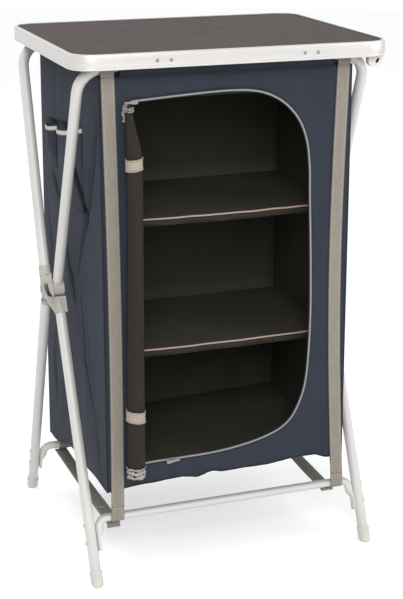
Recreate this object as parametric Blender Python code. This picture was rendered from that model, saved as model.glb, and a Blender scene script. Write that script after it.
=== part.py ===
"""Folding camping cupboard.

A slate-blue fabric cabinet with two shelves hangs on webbing between two crossing tube frames, which carry a
laminated top in an aluminium rim. Metres, +Z up, -Y is the door side, origin on the ground under the middle.

The rear upper tube frame and the front lower legs turn as one, and so do the front upper tube frame and the
rear lower legs. Each side has a moulded hinge: its outer half joins the first pair, its inner half the other.
"""
import math

import bmesh
import bpy
from mathutils import Matrix, Vector

# Clearances
GAP = 0.0003
HINGE_CLEARANCE = 0.0006
BAR_CLEARANCE = 0.0004

# Top board and rim
TOP_WIDTH = 0.600
TOP_DEPTH = 0.460
TOP_HEIGHT = 0.990
CORNER_RADIUS = 0.045
RIM_HEIGHT = 0.028
RIM_WALL = 0.0015
RIM_LIP = 0.0065
RIM_ROUNDING = 0.003
BOARD_THICKNESS = 0.004

# Frames: distances from the middle plane are half widths
TUBE_RADIUS = 0.010
TUBE_BEND = 0.047
TOP_BAR_INSET = 0.058
TOP_BAR_DROP = 0.031
FRONT_TOP_X = 0.2735
REAR_TOP_X = 0.2915
FRONT_FOOT_X = 0.2773
REAR_FOOT_X = 0.284
FOOT_Y = 0.237

# Hinge at the crossing: lengths are measured from the pin along a leg, sides across it
HINGE_Z = 0.517
HINGE_X = 0.2885
HINGE_INNER_FACE = 0.268
HINGE_OUTER_FACE = 0.3085
OUTER_DISC_RADIUS = 0.0140
INNER_DISC_RADIUS = 0.0167
PIN_RADIUS = 0.003
PIN_HEAD_RADIUS = 0.006
PIN_HEAD_HEIGHT = 0.0018
PIN_RECESS_DEPTH = 0.0022
ARM_WIDTH = 0.019
SLEEVE_RADIUS = 0.0113
SLEEVE_START = 0.026
SLEEVE_LENGTH = 0.018
BLOCK_RADIUS = 0.0117
BLOCK_START = 0.0285
BLOCK_LENGTH = 0.0215
BLOCK_SHOULDER = 0.0195
WEB_START = 0.0175
WEB_END = 0.0278
WEB_FAR_SIDE = 0.0045
WEB_NEAR_SIDE = 0.0014
BRIDGE_LAP = 0.0008
STUB_LENGTH = 0.006
UPPER_STUB_END = 0.0175
PLUG_RADIUS = 0.0084
PLUG_LENGTH = 0.020
SOCKET_FLOOR = 0.004
SLOT_TOP = 0.0175
SLOT_FOOT = 0.0130
SLOT_WIDTH = 0.0085
SLOT_SHIFT = 0.0085
SLOT_BACK = 0.0052

# Lower cross bars, riveted inside the legs
LOWER_RADIUS = 0.008
LOWER_BAR_Z = 0.112
LOWER_BEND = 0.0155
LOWER_END_Z = 0.058
FLAT_START_Z = 0.092
FLAT_FULL_Z = 0.080
FLAT_SHARE = 0.40
FLAT_SPREAD = 1.22
LEG_RIVET_Z = 0.104
LEG_RIVET_SPACING = 0.031
RIVET_RADIUS = 0.0020
RIVET_HEAD_RADIUS = 0.0034
RIVET_HEAD_HEIGHT = 0.0014

# Foot caps
FOOT_SOLE_RADIUS = 0.0094
FOOT_RADIUS = 0.0110
FOOT_TOP_RADIUS = 0.0115
FOOT_COLLAR_RADIUS = 0.0122
FOOT_COLLAR_HEIGHT = 0.006
FOOT_HEIGHT = 0.028
FOOT_FLOOR = 0.0090

# Rests and saddles under the top
CLIP_X = 0.138
CLIP_WIDTH = 0.038
CLIP_WALL = 0.0035
CLIP_FLANGE = 0.003
CLIP_WEB = 0.0024
CLIP_CROWN = 0.014
RIM_RIVET_SPACING = 0.0254
CORNER_CLIP_SIDE_INSET = 0.021
CORNER_CLIP_FRONT_INSET = 0.033
CORNER_CLIP_WIDTH = 0.030
CORNER_CLIP_DEPTH = 0.012
CORNER_CLIP_HEIGHT = 0.023

# Webbing
WEB_WIDTH = 0.025
WEB_THICKNESS = 0.0015
LOOP_SLACK = 0.0008
LEFT_WEB_TOP_X = 0.227
LEFT_WEB_LOWER_X = 0.223
LEFT_WEB_BOW = 0.004
RIGHT_WEB_TOP_X = 0.2245
RIGHT_WEB_LOWER_X = 0.2312
RIGHT_WEB_BOW = 0.012
LEFT_BOTTOM_WEB = (-0.2295, -0.2325)
RIGHT_BOTTOM_WEB = (0.2145, 0.2325)
LEFT_TAIL_DROP = 0.0100
RIGHT_TAIL_DROP = 0.0035
WRAP_LENGTH = 0.020

# Cabinet
CLOTH = 0.0015
CABINET_DROP = 0.0145
CABINET_FRONT_X = 0.2415
CABINET_REAR_X = 0.2525
HEM_LEFT_Z = 0.165
HEM_RIGHT_Z = 0.186
HEM_WAVE = 0.0022
CLOTH_SLEEVE_HALF_WIDTH = 0.205
CLOTH_SLEEVE_TAIL = 222.0
SIDE_BULGE = 0.0022
SIDE_PLEAT = 0.0012
FLOOR_ABOVE_HEM = 0.004
SHELF_DEPTH = 0.294
SHELF_THICKNESS = 0.005
LOWER_SHELF_SHARE = 0.3290
UPPER_SHELF_SHARE = 0.6524

# Door opening, zip and rolled door: drops are below the cabinet's top, rises above its left hem
DOOR_LEFT_TOP_X = -0.179
DOOR_LEFT_FOOT_X = -0.181
DOOR_RIGHT_TOP_X = 0.168
DOOR_RIGHT_FOOT_X = 0.1765
DOOR_LEFT_DROP = 0.0490
DOOR_RIGHT_DROP = 0.0305
DOOR_LEFT_RISE = 0.0435
DOOR_RIGHT_RISE = 0.0850
DOOR_TOP_RADIUS = 0.130
DOOR_BOTTOM_RADIUS = 0.085
DOOR_LEFT_RADIUS = 0.006
ZIP_START_X = -0.1850
ZIP_WIDTH = 0.006
ZIP_THICKNESS = 0.0012
SLIDER_LENGTH = 0.011
SLIDER_WIDTH = 0.008
SLIDER_THICKNESS = 0.0032
PULL_LENGTH = 0.020
PULL_WIDTH = 0.005
TOP_SLIDER_X = -0.178
LOWER_SLIDER_X = -0.120
ROLL_X = -0.1862
ROLL_DROP = 0.0575
ROLL_RISE = 0.0320
ROLL_TOP_RADIUS = 0.0165
ROLL_BOTTOM_RADIUS = 0.0190
ROLL_STEP = 0.0022
ROLL_PINCH = 0.0016
ROLL_TAPER = 0.0040
ROLL_TAPER_LENGTH = 0.045
ROLL_SIDES = 16
TIE_WIDTH = 0.021
TIE_THICKNESS = 0.0012
TIE_DROP = 0.1530
TIE_RISE = 0.1560
TIE_TILT = 0.12

# Pockets on the left side
POCKET_DROP = 0.1415
POCKET_DEPTH = 0.125
POCKET_BULGE = 0.0085
FRONT_POCKET_Y = (-0.055, 0.085)
REAR_POCKET_Y = (0.098, 0.158)
BINDING = 0.0008

# Facets
TUBE_SIDES = 14
BEND_STEPS = 6
ROUND_SIDES = 20


# Places that follow from the sizes above

def lerp(start, end, share):
    return start + (end - start) * share


HINGE = Vector((0.0, 0.0, HINGE_Z))
TOP_BAR_Y = TOP_DEPTH / 2 - TOP_BAR_INSET
TOP_BAR_Z = TOP_HEIGHT - TOP_BAR_DROP
CABINET_TOP_Z = TOP_BAR_Z - CABINET_DROP
LOWER_SHELF_Z = lerp(HEM_LEFT_Z, CABINET_TOP_Z, LOWER_SHELF_SHARE)
UPPER_SHELF_Z = lerp(HEM_LEFT_Z, CABINET_TOP_Z, UPPER_SHELF_SHARE)
DOOR_TOP_LEFT = (DOOR_LEFT_TOP_X, CABINET_TOP_Z - DOOR_LEFT_DROP)
DOOR_TOP_RIGHT = (DOOR_RIGHT_TOP_X, CABINET_TOP_Z - DOOR_RIGHT_DROP)
DOOR_BOTTOM_RIGHT = (DOOR_RIGHT_FOOT_X, HEM_LEFT_Z + DOOR_RIGHT_RISE)
DOOR_BOTTOM_LEFT = (DOOR_LEFT_FOOT_X, HEM_LEFT_Z + DOOR_LEFT_RISE)
ROLL_TOP_Z = CABINET_TOP_Z - ROLL_DROP
ROLL_BOTTOM_Z = HEM_LEFT_Z + ROLL_RISE
TIE_TOP_Z = CABINET_TOP_Z - TIE_DROP
TIE_LOWER_Z = HEM_LEFT_Z + TIE_RISE
POCKET_MOUTH_Z = CABINET_TOP_Z - POCKET_DROP
CORNER_CLIP_X = TOP_WIDTH / 2 - CORNER_CLIP_SIDE_INSET
CORNER_CLIP_Y = CORNER_CLIP_FRONT_INSET - TOP_DEPTH / 2
INNER_X = HINGE_X - TUBE_RADIUS - HINGE_CLEARANCE / 2
OUTER_X = HINGE_X + TUBE_RADIUS + HINGE_CLEARANCE / 2
INNER_LEVEL = HINGE_X - HINGE_CLEARANCE / 2
OUTER_LEVEL = HINGE_X + HINGE_CLEARANCE / 2
LOWER_BAR_Y = FOOT_Y * (1 - LOWER_BAR_Z / HINGE_Z)
UPPER_ANGLE = math.atan2(TOP_BAR_Y, TOP_BAR_Z - HINGE_Z)
LOWER_ANGLE = math.atan2(FOOT_Y, HINGE_Z)
RIM_BOTTOM = TOP_HEIGHT - RIM_HEIGHT
BOARD_TOP = TOP_HEIGHT - RIM_WALL - GAP
LEDGE_TOP = BOARD_TOP - BOARD_THICKNESS - GAP
CLIP_TOP = LEDGE_TOP - RIM_WALL - GAP
RIVET_Z = TOP_HEIGHT - RIM_HEIGHT / 2
WEB_TOP_Y = TOP_BAR_Y + TUBE_RADIUS + LOOP_SLACK
WEB_LOWER_Y = LOWER_BAR_Y + LOWER_RADIUS + GAP


def wall_y(z):
    """Distance of the webbing's inner face, and so of the cabinet's front and back, from the middle plane."""
    share = (z - LOWER_BAR_Z) / (TOP_BAR_Z - LOWER_BAR_Z)
    return lerp(WEB_LOWER_Y, WEB_TOP_Y, share) - GAP


def side_x(y, z):
    """Distance of the cabinet side's outer face from the middle plane, drawn in where a shelf is sewn on."""
    share = 0.5 + y / (2 * wall_y(z))
    width = lerp(CABINET_FRONT_X, CABINET_REAR_X, share)
    bay = (CABINET_TOP_Z - UPPER_SHELF_Z, UPPER_SHELF_Z - LOWER_SHELF_Z, LOWER_SHELF_Z - HEM_LEFT_Z)
    if z > UPPER_SHELF_Z:
        height = (z - UPPER_SHELF_Z) / bay[0]
    elif z > LOWER_SHELF_Z:
        height = (z - LOWER_SHELF_Z) / bay[1]
    else:
        height = (z - HEM_LEFT_Z) / bay[2]
    swell = math.sin(math.pi * min(max(height, 0.0), 1.0))
    across = math.sin(math.pi * min(max(share, 0.0), 1.0))
    pleats = math.sin(9.0 * share + 5.0 * height)
    return width + swell * across * (SIDE_BULGE + SIDE_PLEAT * pleats)


def hem_z(x):
    """Height of the cabinet's lower edge, which rises a little to the right."""
    share = 0.5 + x / (2 * CABINET_REAR_X)
    return lerp(HEM_LEFT_Z, HEM_RIGHT_Z, share)


def leg_x(z, inner):
    """Distance of a lower leg's centre line from the middle plane."""
    share = z / HINGE_Z
    if inner:
        return lerp(FRONT_FOOT_X, INNER_X, share)
    return lerp(REAR_FOOT_X, OUTER_X, share)


def leg_y(z):
    return FOOT_Y * (1 - z / HINGE_Z)


# Materials

def material(name, color, roughness, metallic=0.0):
    """A Principled BSDF with one colour, roughness and metallic value."""
    made = bpy.data.materials.new(name)
    made.use_nodes = True
    shader = made.node_tree.nodes["Principled BSDF"]
    shader.inputs["Base Color"].default_value = (*color, 1.0)
    shader.inputs["Roughness"].default_value = roughness
    shader.inputs["Metallic"].default_value = metallic
    made.diffuse_color = (*color, 1.0)
    return made


def make_materials():
    return {
        "laminate": material("laminate", (0.045, 0.038, 0.034), 0.32),
        "aluminium": material("aluminium", (0.78, 0.78, 0.78), 0.35, 1.0),
        "white_steel": material("white_steel", (0.80, 0.80, 0.78), 0.35),
        "white_plastic": material("white_plastic", (0.76, 0.75, 0.70), 0.45),
        "rivet_steel": material("rivet_steel", (0.60, 0.60, 0.60), 0.35, 1.0),
        "webbing": material("webbing", (0.25, 0.23, 0.20), 0.85),
        "dark_webbing": material("dark_webbing", (0.085, 0.080, 0.068), 0.85),
        "cabinet_cloth": material("cabinet_cloth", (0.030, 0.045, 0.075), 0.85),
        "inner_cloth": material("inner_cloth", (0.010, 0.010, 0.012), 0.85),
        "door_cloth": material("door_cloth", (0.020, 0.018, 0.018), 0.80),
        "zip_tape": material("zip_tape", (0.36, 0.37, 0.39), 0.70),
        "tie_cloth": material("tie_cloth", (0.55, 0.50, 0.42), 0.85),
        "zip_metal": material("zip_metal", (0.55, 0.55, 0.57), 0.30, 1.0),
    }


# Mesh helpers

def finish(name, bm, stuff, parent, origin=(0.0, 0.0, 0.0), sharp=35.0):
    """Turn a bmesh in world coordinates into an object whose origin is given, under its empty."""
    bmesh.ops.recalc_face_normals(bm, faces=bm.faces)
    mesh = bpy.data.meshes.new(name)
    bm.to_mesh(mesh)
    bm.free()
    mesh.transform(Matrix.Translation(-Vector(origin)))
    mesh.shade_smooth()
    mesh.set_sharp_from_angle(angle=math.radians(sharp))
    mesh.materials.append(stuff)
    made = bpy.data.objects.new(name, mesh)
    bpy.context.scene.collection.objects.link(made)
    made.location = origin
    made.parent = parent
    made.matrix_parent_inverse = Matrix.Translation(-parent.location)
    return made


def empty(name, location):
    """A guide on a joint's axis, which carries the pieces that move with it."""
    made = bpy.data.objects.new(name, None)
    bpy.context.scene.collection.objects.link(made)
    made.location = location
    made.empty_display_size = 0.05
    return made


def skin(bm, loops, wrap=False):
    """Join closed loops of as many points each into one body, capped at both ends or wrapped to a ring."""
    rings = [[bm.verts.new(point) for point in loop] for loop in loops]
    count = len(rings[0])
    pairs = list(zip(rings, rings[1:]))
    if wrap:
        pairs.append((rings[-1], rings[0]))
    for first, second in pairs:
        for index in range(count):
            after = (index + 1) % count
            bm.faces.new((first[index], first[after], second[after], second[index]))
    if not wrap:
        bm.faces.new(list(reversed(rings[0])))
        bm.faces.new(rings[-1])


def circle(centre, across, up, radius, sides):
    """Points of a circle in the plane of two unit vectors."""
    points = []
    for index in range(sides):
        turn = 2 * math.pi * index / sides
        points.append(centre + across * (radius * math.cos(turn)) + up * (radius * math.sin(turn)))
    return points


def frames_along(path):
    """Unit vectors across each point of a path, carried along it without twist."""
    tangents = []
    for index in range(len(path)):
        ahead = path[min(index + 1, len(path) - 1)]
        behind = path[max(index - 1, 0)]
        tangents.append((ahead - behind).normalized())
    side = tangents[0].orthogonal().normalized()
    result = []
    for tangent in tangents:
        side = (side - tangent * side.dot(tangent)).normalized()
        result.append((side, tangent.cross(side)))
    return result


def rounded_path(corners, radius, steps):
    """A polyline whose inner corners are arcs of the given radius."""
    path = [corners[0]]
    for before, corner, after in zip(corners, corners[1:], corners[2:]):
        into = (before - corner).normalized()
        out = (after - corner).normalized()
        half = into.angle(out) / 2
        reach = radius / math.tan(half)
        centre = corner + (into + out).normalized() * (radius / math.sin(half))
        start = corner + into * reach - centre
        end = corner + out * reach - centre
        sweep = start.angle(end)
        for step in range(steps + 1):
            turn = sweep * step / steps
            point = start * math.sin(sweep - turn) + end * math.sin(turn)
            path.append(centre + point / math.sin(sweep))
    path.append(corners[-1])
    return path


def tube(bm, path, radius, sides, bore=0.0, bore_depth=0.0):
    """Sweep a circle along a path; a bore, where given, is sunk into both ends."""
    frames = frames_along(path)
    loops = [circle(point, *frame, radius, sides) for point, frame in zip(path, frames)]
    if bore:
        first = (path[1] - path[0]).normalized()
        last = (path[-2] - path[-1]).normalized()
        mouth = circle(path[0], *frames[0], bore, sides)
        floor = circle(path[0] + first * bore_depth, *frames[0], bore, sides)
        far_mouth = circle(path[-1], *frames[-1], bore, sides)
        far_floor = circle(path[-1] + last * bore_depth, *frames[-1], bore, sides)
        loops = [floor, mouth] + loops + [far_mouth, far_floor]
    skin(bm, loops)


def rod(bm, start, end, radius, sides, end_radius=None):
    """A straight cylinder or cone between two points."""
    axis = (end - start).normalized()
    across = axis.orthogonal().normalized()
    up = axis.cross(across)
    far = radius if end_radius is None else end_radius
    skin(bm, [circle(start, across, up, radius, sides), circle(end, across, up, far, sides)])


def turned(bm, start, axis, outline, sides):
    """Turn an outline of (distance along the axis, radius) pairs into a closed body."""
    axis = axis.normalized()
    across = axis.orthogonal().normalized()
    up = axis.cross(across)
    skin(bm, [circle(start + axis * along, across, up, radius, sides) for along, radius in outline])


def prism(bm, outline, low, high, axis="X"):
    """Extrude a flat outline: (y, z) pairs along X, or (x, z) pairs along Y."""
    def place(pair, depth):
        if axis == "X":
            return Vector((depth, pair[0], pair[1]))
        return Vector((pair[0], depth, pair[1]))
    skin(bm, [[place(pair, low) for pair in outline], [place(pair, high) for pair in outline]])


def helper(name, bm, parent):
    """A hidden body that only cuts or adds to another one."""
    bmesh.ops.recalc_face_normals(bm, faces=bm.faces)
    mesh = bpy.data.meshes.new(name)
    bm.to_mesh(mesh)
    bm.free()
    made = bpy.data.objects.new(name, mesh)
    bpy.context.scene.collection.objects.link(made)
    made.hide_render = True
    made.display_type = "WIRE"
    made.parent = parent
    made.matrix_parent_inverse = Matrix.Translation(-parent.location)
    return made


def combine(target, bm, operation):
    """Add a body to the target, or cut it away, by a Boolean modifier."""
    number = len(target.modifiers) + 1
    tool = helper(f"{target.name}.tool{number}", bm, target.parent)
    change = target.modifiers.new(f"{operation.lower()} {number}", "BOOLEAN")
    change.operation = operation
    change.solver = "EXACT"
    change.object = tool


def drill(target, mouth, floor, radius):
    """Cut a round hole from just outside its mouth down to its floor."""
    bm = bmesh.new()
    rod(bm, mouth - (floor - mouth).normalized() * 0.002, floor, radius, 10)
    combine(target, bm, "DIFFERENCE")


def rounded_rectangle(half_x, half_y, radius, z, steps=6):
    """Points of a rounded rectangle at a height, starting at the right end of the front edge."""
    points = []
    for quarter, (sign_x, sign_y) in enumerate(((1, -1), (1, 1), (-1, 1), (-1, -1))):
        for step in range(steps + 1):
            turn = math.pi / 2 * (quarter - 1 + step / steps)
            x = sign_x * (half_x - radius) + radius * math.cos(turn)
            y = sign_y * (half_y - radius) + radius * math.sin(turn)
            points.append(Vector((x, y, z)))
    return points


# Top

def top_rim(stuff, parent):
    """Aluminium edging: a rounded outer wall, a lip over the board and a ledge under it."""
    lip = -RIM_LIP
    wall = -RIM_WALL
    soft = RIM_ROUNDING * 0.3
    ledge_low = LEDGE_TOP - RIM_WALL
    profile = (
        (lip, TOP_HEIGHT), (-RIM_ROUNDING, TOP_HEIGHT), (-soft, TOP_HEIGHT - soft),
        (0.0, TOP_HEIGHT - RIM_ROUNDING), (0.0, RIM_BOTTOM + RIM_ROUNDING), (-soft, RIM_BOTTOM + soft),
        (-RIM_ROUNDING, RIM_BOTTOM), (lip, RIM_BOTTOM), (lip, RIM_BOTTOM + RIM_WALL),
        (wall * 2, RIM_BOTTOM + RIM_WALL), (wall, RIM_BOTTOM + RIM_WALL * 2), (wall, ledge_low),
        (lip, ledge_low), (lip, LEDGE_TOP), (wall, LEDGE_TOP),
        (wall, TOP_HEIGHT - RIM_WALL), (lip, TOP_HEIGHT - RIM_WALL),
    )
    bm = bmesh.new()
    loops = []
    for outward, z in profile:
        radius = CORNER_RADIUS + outward
        loops.append(rounded_rectangle(TOP_WIDTH / 2 + outward, TOP_DEPTH / 2 + outward, radius, z))
    skin(bm, loops, wrap=True)
    rim = finish("top_rim", bm, stuff["aluminium"], parent)
    for x, face in clip_rivets():
        outer = Vector((x, face * TOP_DEPTH / 2, RIVET_Z))
        inner = Vector((x, face * (TOP_DEPTH / 2 - 2 * RIM_WALL), RIVET_Z))
        drill(rim, outer, inner, RIVET_RADIUS + GAP)
    return rim


def top_board(stuff, parent):
    bm = bmesh.new()
    inset = RIM_WALL + GAP
    radius = CORNER_RADIUS - inset
    loops = [
        rounded_rectangle(TOP_WIDTH / 2 - inset, TOP_DEPTH / 2 - inset, radius, z)
        for z in (BOARD_TOP - BOARD_THICKNESS, BOARD_TOP)
    ]
    skin(bm, loops)
    return finish("top_board", bm, stuff["laminate"], parent)


def clip_rivets():
    """Places (x, -1 front or 1 rear) of the rivets through the rim."""
    places = []
    for face in (-1, 1):
        for side in (-1, 1):
            for step in (-0.5, 0.5):
                places.append((side * CLIP_X + step * RIM_RIVET_SPACING, face))
    return places


def rivet(bm, seat, axis, length, tail):
    """A domed rivet: its head rests on the seat, and its shank may end in a flat tail."""
    dome = RIVET_HEAD_RADIUS * 0.7
    outline = [
        (-RIVET_HEAD_HEIGHT - GAP, dome * 0.7), (-RIVET_HEAD_HEIGHT * 0.5 - GAP, dome * 1.25),
        (-GAP, RIVET_HEAD_RADIUS), (-GAP, RIVET_RADIUS), (length + GAP, RIVET_RADIUS),
    ]
    if tail:
        outline += [
            (length + GAP, RIVET_HEAD_RADIUS * 0.85),
            (length + GAP + RIVET_HEAD_HEIGHT * 0.7, RIVET_HEAD_RADIUS * 0.75),
        ]
    turned(bm, seat, axis, outline, 10)


def rim_rivet_body(bm, x, face):
    seat = Vector((x, face * TOP_DEPTH / 2, RIVET_Z))
    length = RIM_WALL + GAP + CLIP_FLANGE
    rivet(bm, seat, Vector((0.0, -face, 0.0)), length, tail=True)


def clip_outline(face):
    """Side view of a clip: flange on the rim, web under the board, shell over the tube in its sleeve.

    The front ones are open behind the tube, so the front frame can swing out of them.
    """
    wall = TOP_DEPTH / 2 - RIM_WALL - GAP
    grip = TUBE_RADIUS + GAP + CLOTH + BAR_CLEARANCE
    shell = TOP_BAR_Y + grip + CLIP_WALL
    skirt = TOP_BAR_Z - CLIP_WALL
    flange_foot = RIM_BOTTOM + 2 * RIM_WALL
    web = CLIP_TOP - CLIP_WEB
    points = [(wall, CLIP_TOP), (wall, flange_foot), (wall - CLIP_FLANGE, flange_foot)]
    points += [(wall - CLIP_FLANGE, web), (shell + 0.006, web), (shell, web - 0.006)]
    points += [(shell, skirt), (TOP_BAR_Y + grip, skirt)]
    end = math.pi / 2 if face < 0 else math.pi
    for step in range(9):
        turn = end * step / 8
        points.append((TOP_BAR_Y + grip * math.cos(turn), TOP_BAR_Z + grip * math.sin(turn)))
    if face < 0:
        back = TOP_BAR_Y - CLIP_CROWN
        points += [(back, TOP_BAR_Z + grip), (back, CLIP_TOP)]
    else:
        back = TOP_BAR_Y - grip - CLIP_WALL
        points += [(TOP_BAR_Y - grip, skirt), (back, skirt), (back, CLIP_TOP)]
    return [(face * distance, z) for distance, z in points]


def top_clip(name, side, face, stuff, parent):
    """A rest on the front tube, or a saddle over the rear one; the saddle's rivets are part of it."""
    bm = bmesh.new()
    centre = side * CLIP_X
    outline = clip_outline(face)
    prism(bm, outline, centre - CLIP_WIDTH / 2, centre + CLIP_WIDTH / 2)
    clip = finish(name, bm, stuff["white_plastic"], parent)
    for step in (-0.5, 0.5):
        x = centre + step * RIM_RIVET_SPACING
        if face < 0:
            outer = Vector((x, face * TOP_DEPTH / 2, RIVET_Z))
            inner = Vector((x, face * (TOP_DEPTH / 2 - RIM_WALL - 2 * CLIP_FLANGE), RIVET_Z))
            drill(clip, outer, inner, RIVET_RADIUS + GAP)
        else:
            body = bmesh.new()
            rim_rivet_body(body, x, face)
            combine(clip, body, "UNION")
    return clip


def corner_clip(stuff, parent):
    """Rounded clip under the right front corner, with a slanting slot through it."""
    top = RIM_BOTTOM - GAP
    half = CORNER_CLIP_WIDTH / 2
    bow = top - CORNER_CLIP_HEIGHT * 0.5
    points = [(CORNER_CLIP_X + half, top), (CORNER_CLIP_X - half, top)]
    for step in range(13):
        turn = math.pi * (1 + step / 12)
        x = CORNER_CLIP_X + half * math.cos(turn)
        points.append((x, bow + CORNER_CLIP_HEIGHT * 0.5 * math.sin(turn)))
    bm = bmesh.new()
    low = CORNER_CLIP_Y - CORNER_CLIP_DEPTH / 2
    prism(bm, points, low, low + CORNER_CLIP_DEPTH, axis="Y")
    clip = finish("corner_clip", bm, stuff["white_plastic"], parent)
    slot = bmesh.new()
    outline = []
    lean = math.radians(35)
    for step in range(16):
        turn = 2 * math.pi * step / 16
        along = 0.0055 * math.sin(turn)
        across = 0.0028 * math.cos(turn)
        x = CORNER_CLIP_X + 0.003 + across * math.cos(lean) + along * math.sin(lean)
        z = top - CORNER_CLIP_HEIGHT * 0.46 - across * math.sin(lean) + along * math.cos(lean)
        outline.append((x, z))
    prism(slot, outline, low - 0.01, low + CORNER_CLIP_DEPTH + 0.01, axis="Y")
    combine(clip, slot, "DIFFERENCE")
    return clip


# Frames

def hinge_point(side, inner):
    return Vector((side * (INNER_X if inner else OUTER_X), 0.0, HINGE_Z))


def upper_corner(side, inner):
    """Where the leg's line and the top bar's line meet, before the bend."""
    if inner:
        return Vector((side * FRONT_TOP_X, -TOP_BAR_Y, TOP_BAR_Z))
    return Vector((side * REAR_TOP_X, TOP_BAR_Y, TOP_BAR_Z))


def upper_frame(name, inner, start, stuff, parent, plugged):
    """An inverted U: a top bar with a leg down to the hinge at each end."""
    corners = []
    for side in (-1, 1):
        corner = upper_corner(side, inner)
        hinge = hinge_point(side, inner)
        end = hinge + (corner - hinge).normalized() * start
        corners += [end, corner] if side < 0 else [corner, end]
    bm = bmesh.new()
    bore = PLUG_RADIUS + GAP if plugged else 0.0
    path = rounded_path(corners, TUBE_BEND, BEND_STEPS)
    tube(bm, path, TUBE_RADIUS, TUBE_SIDES, bore, PLUG_LENGTH + 2 * GAP)
    return finish(name, bm, stuff["white_steel"], parent, HINGE)


def foot_point(side, inner):
    """Centre of a foot on the ground: the inner legs stand in front, the outer ones behind."""
    if inner:
        return Vector((side * FRONT_FOOT_X, -FOOT_Y, 0.0))
    return Vector((side * REAR_FOOT_X, FOOT_Y, 0.0))


def lower_leg(name, side, inner, start, stuff, parent, plugged):
    """A straight leg from the hinge down into its foot cap, drilled for the cross bar's rivets."""
    hinge = hinge_point(side, inner)
    foot = foot_point(side, inner)
    along = (foot - hinge).normalized()
    top = hinge + along * start
    bottom = foot - along * (FOOT_FLOOR + GAP)
    frames = frames_along([top, bottom])
    bm = bmesh.new()
    loops = [circle(point, *frames[0], TUBE_RADIUS, TUBE_SIDES) for point in (top, bottom)]
    if plugged:
        bore = PLUG_RADIUS + GAP
        depth = PLUG_LENGTH + 2 * GAP
        mouth = [circle(top + along * deep, *frames[0], bore, TUBE_SIDES) for deep in (depth, 0.0)]
        loops = mouth + loops
    skin(bm, loops)
    leg = finish(name, bm, stuff["white_steel"], parent, HINGE)
    for outer, inside in leg_rivet_seats(side, inner):
        drill(leg, outer, inside, RIVET_RADIUS + GAP)
    return leg


def bar_x(z, inner):
    return leg_x(z, inner) - TUBE_RADIUS - LOWER_RADIUS - GAP


def flatness(z):
    """Share to which the bar's end is pressed flat against the leg at a height, from 0 to 1."""
    return min(max((FLAT_START_Z - z) / (FLAT_START_Z - FLAT_FULL_Z), 0.0), 1.0)


def lower_bar(name, inner, stuff, parent):
    """Cross bar whose two ends are bent down along the legs and pressed flat there."""
    face = -1 if inner else 1
    corners = []
    for side in (-1, 1):
        corner = Vector((side * bar_x(LOWER_BAR_Z, inner), face * leg_y(LOWER_BAR_Z), LOWER_BAR_Z))
        levels = (LOWER_END_Z, FLAT_FULL_Z, FLAT_START_Z)
        ends = [Vector((side * bar_x(z, inner), face * leg_y(z), z)) for z in levels]
        corners.append((ends, corner))
    turns = [corners[0][0][2], corners[0][1], corners[1][1], corners[1][0][2]]
    bend = rounded_path(turns, LOWER_BEND, BEND_STEPS)
    path = corners[0][0][:2] + bend + corners[1][0][1::-1]
    bm = bmesh.new()
    tube(bm, path, LOWER_RADIUS, TUBE_SIDES - 2)
    for vertex in bm.verts:
        place = vertex.co
        nearest = min(path, key=lambda point: (point - place).length)
        pressed = flatness(nearest.z)
        if pressed:
            edge = leg_x(place.z, inner) - TUBE_RADIUS - GAP
            depth = (edge - abs(place.x)) * lerp(1.0, FLAT_SHARE, pressed)
            place.x = math.copysign(edge - depth, place.x)
            place.y = nearest.y + (place.y - nearest.y) * lerp(1.0, FLAT_SPREAD, pressed)
            place.z = nearest.z + (place.z - nearest.z) * lerp(1.0, FLAT_SPREAD, pressed)
    bar = finish(name, bm, stuff["white_steel"], parent, HINGE)
    for side in (-1, 1):
        for outer, inside in leg_rivet_seats(side, inner):
            drill(bar, outer, inside, RIVET_RADIUS + GAP)
    return bar


def leg_rivet_seats(side, inner):
    """Seats of the two blind rivets of a cross bar's end, and the middle of the bar behind each."""
    face = -1 if inner else 1
    seats = []
    for z in (LEG_RIVET_Z, LEG_RIVET_Z - LEG_RIVET_SPACING):
        y = face * leg_y(z)
        outer = Vector((side * (leg_x(z, inner) + TUBE_RADIUS), y, z))
        depth = LOWER_RADIUS * lerp(1.0, FLAT_SHARE, flatness(z))
        inside = Vector((side * (leg_x(z, inner) - TUBE_RADIUS - GAP - depth), y, z))
        seats.append((outer, inside))
    return seats


def leg_rivets(name, side, inner, stuff, parent):
    made = []
    for number, (outer, inside) in enumerate(leg_rivet_seats(side, inner), 1):
        bm = bmesh.new()
        length = (inside - outer).length - 2 * GAP
        rivet(bm, outer, Vector((-side, 0.0, 0.0)), length, tail=False)
        made.append(finish(f"{name}_{number}", bm, stuff["rivet_steel"], parent, outer))
    return made


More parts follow.
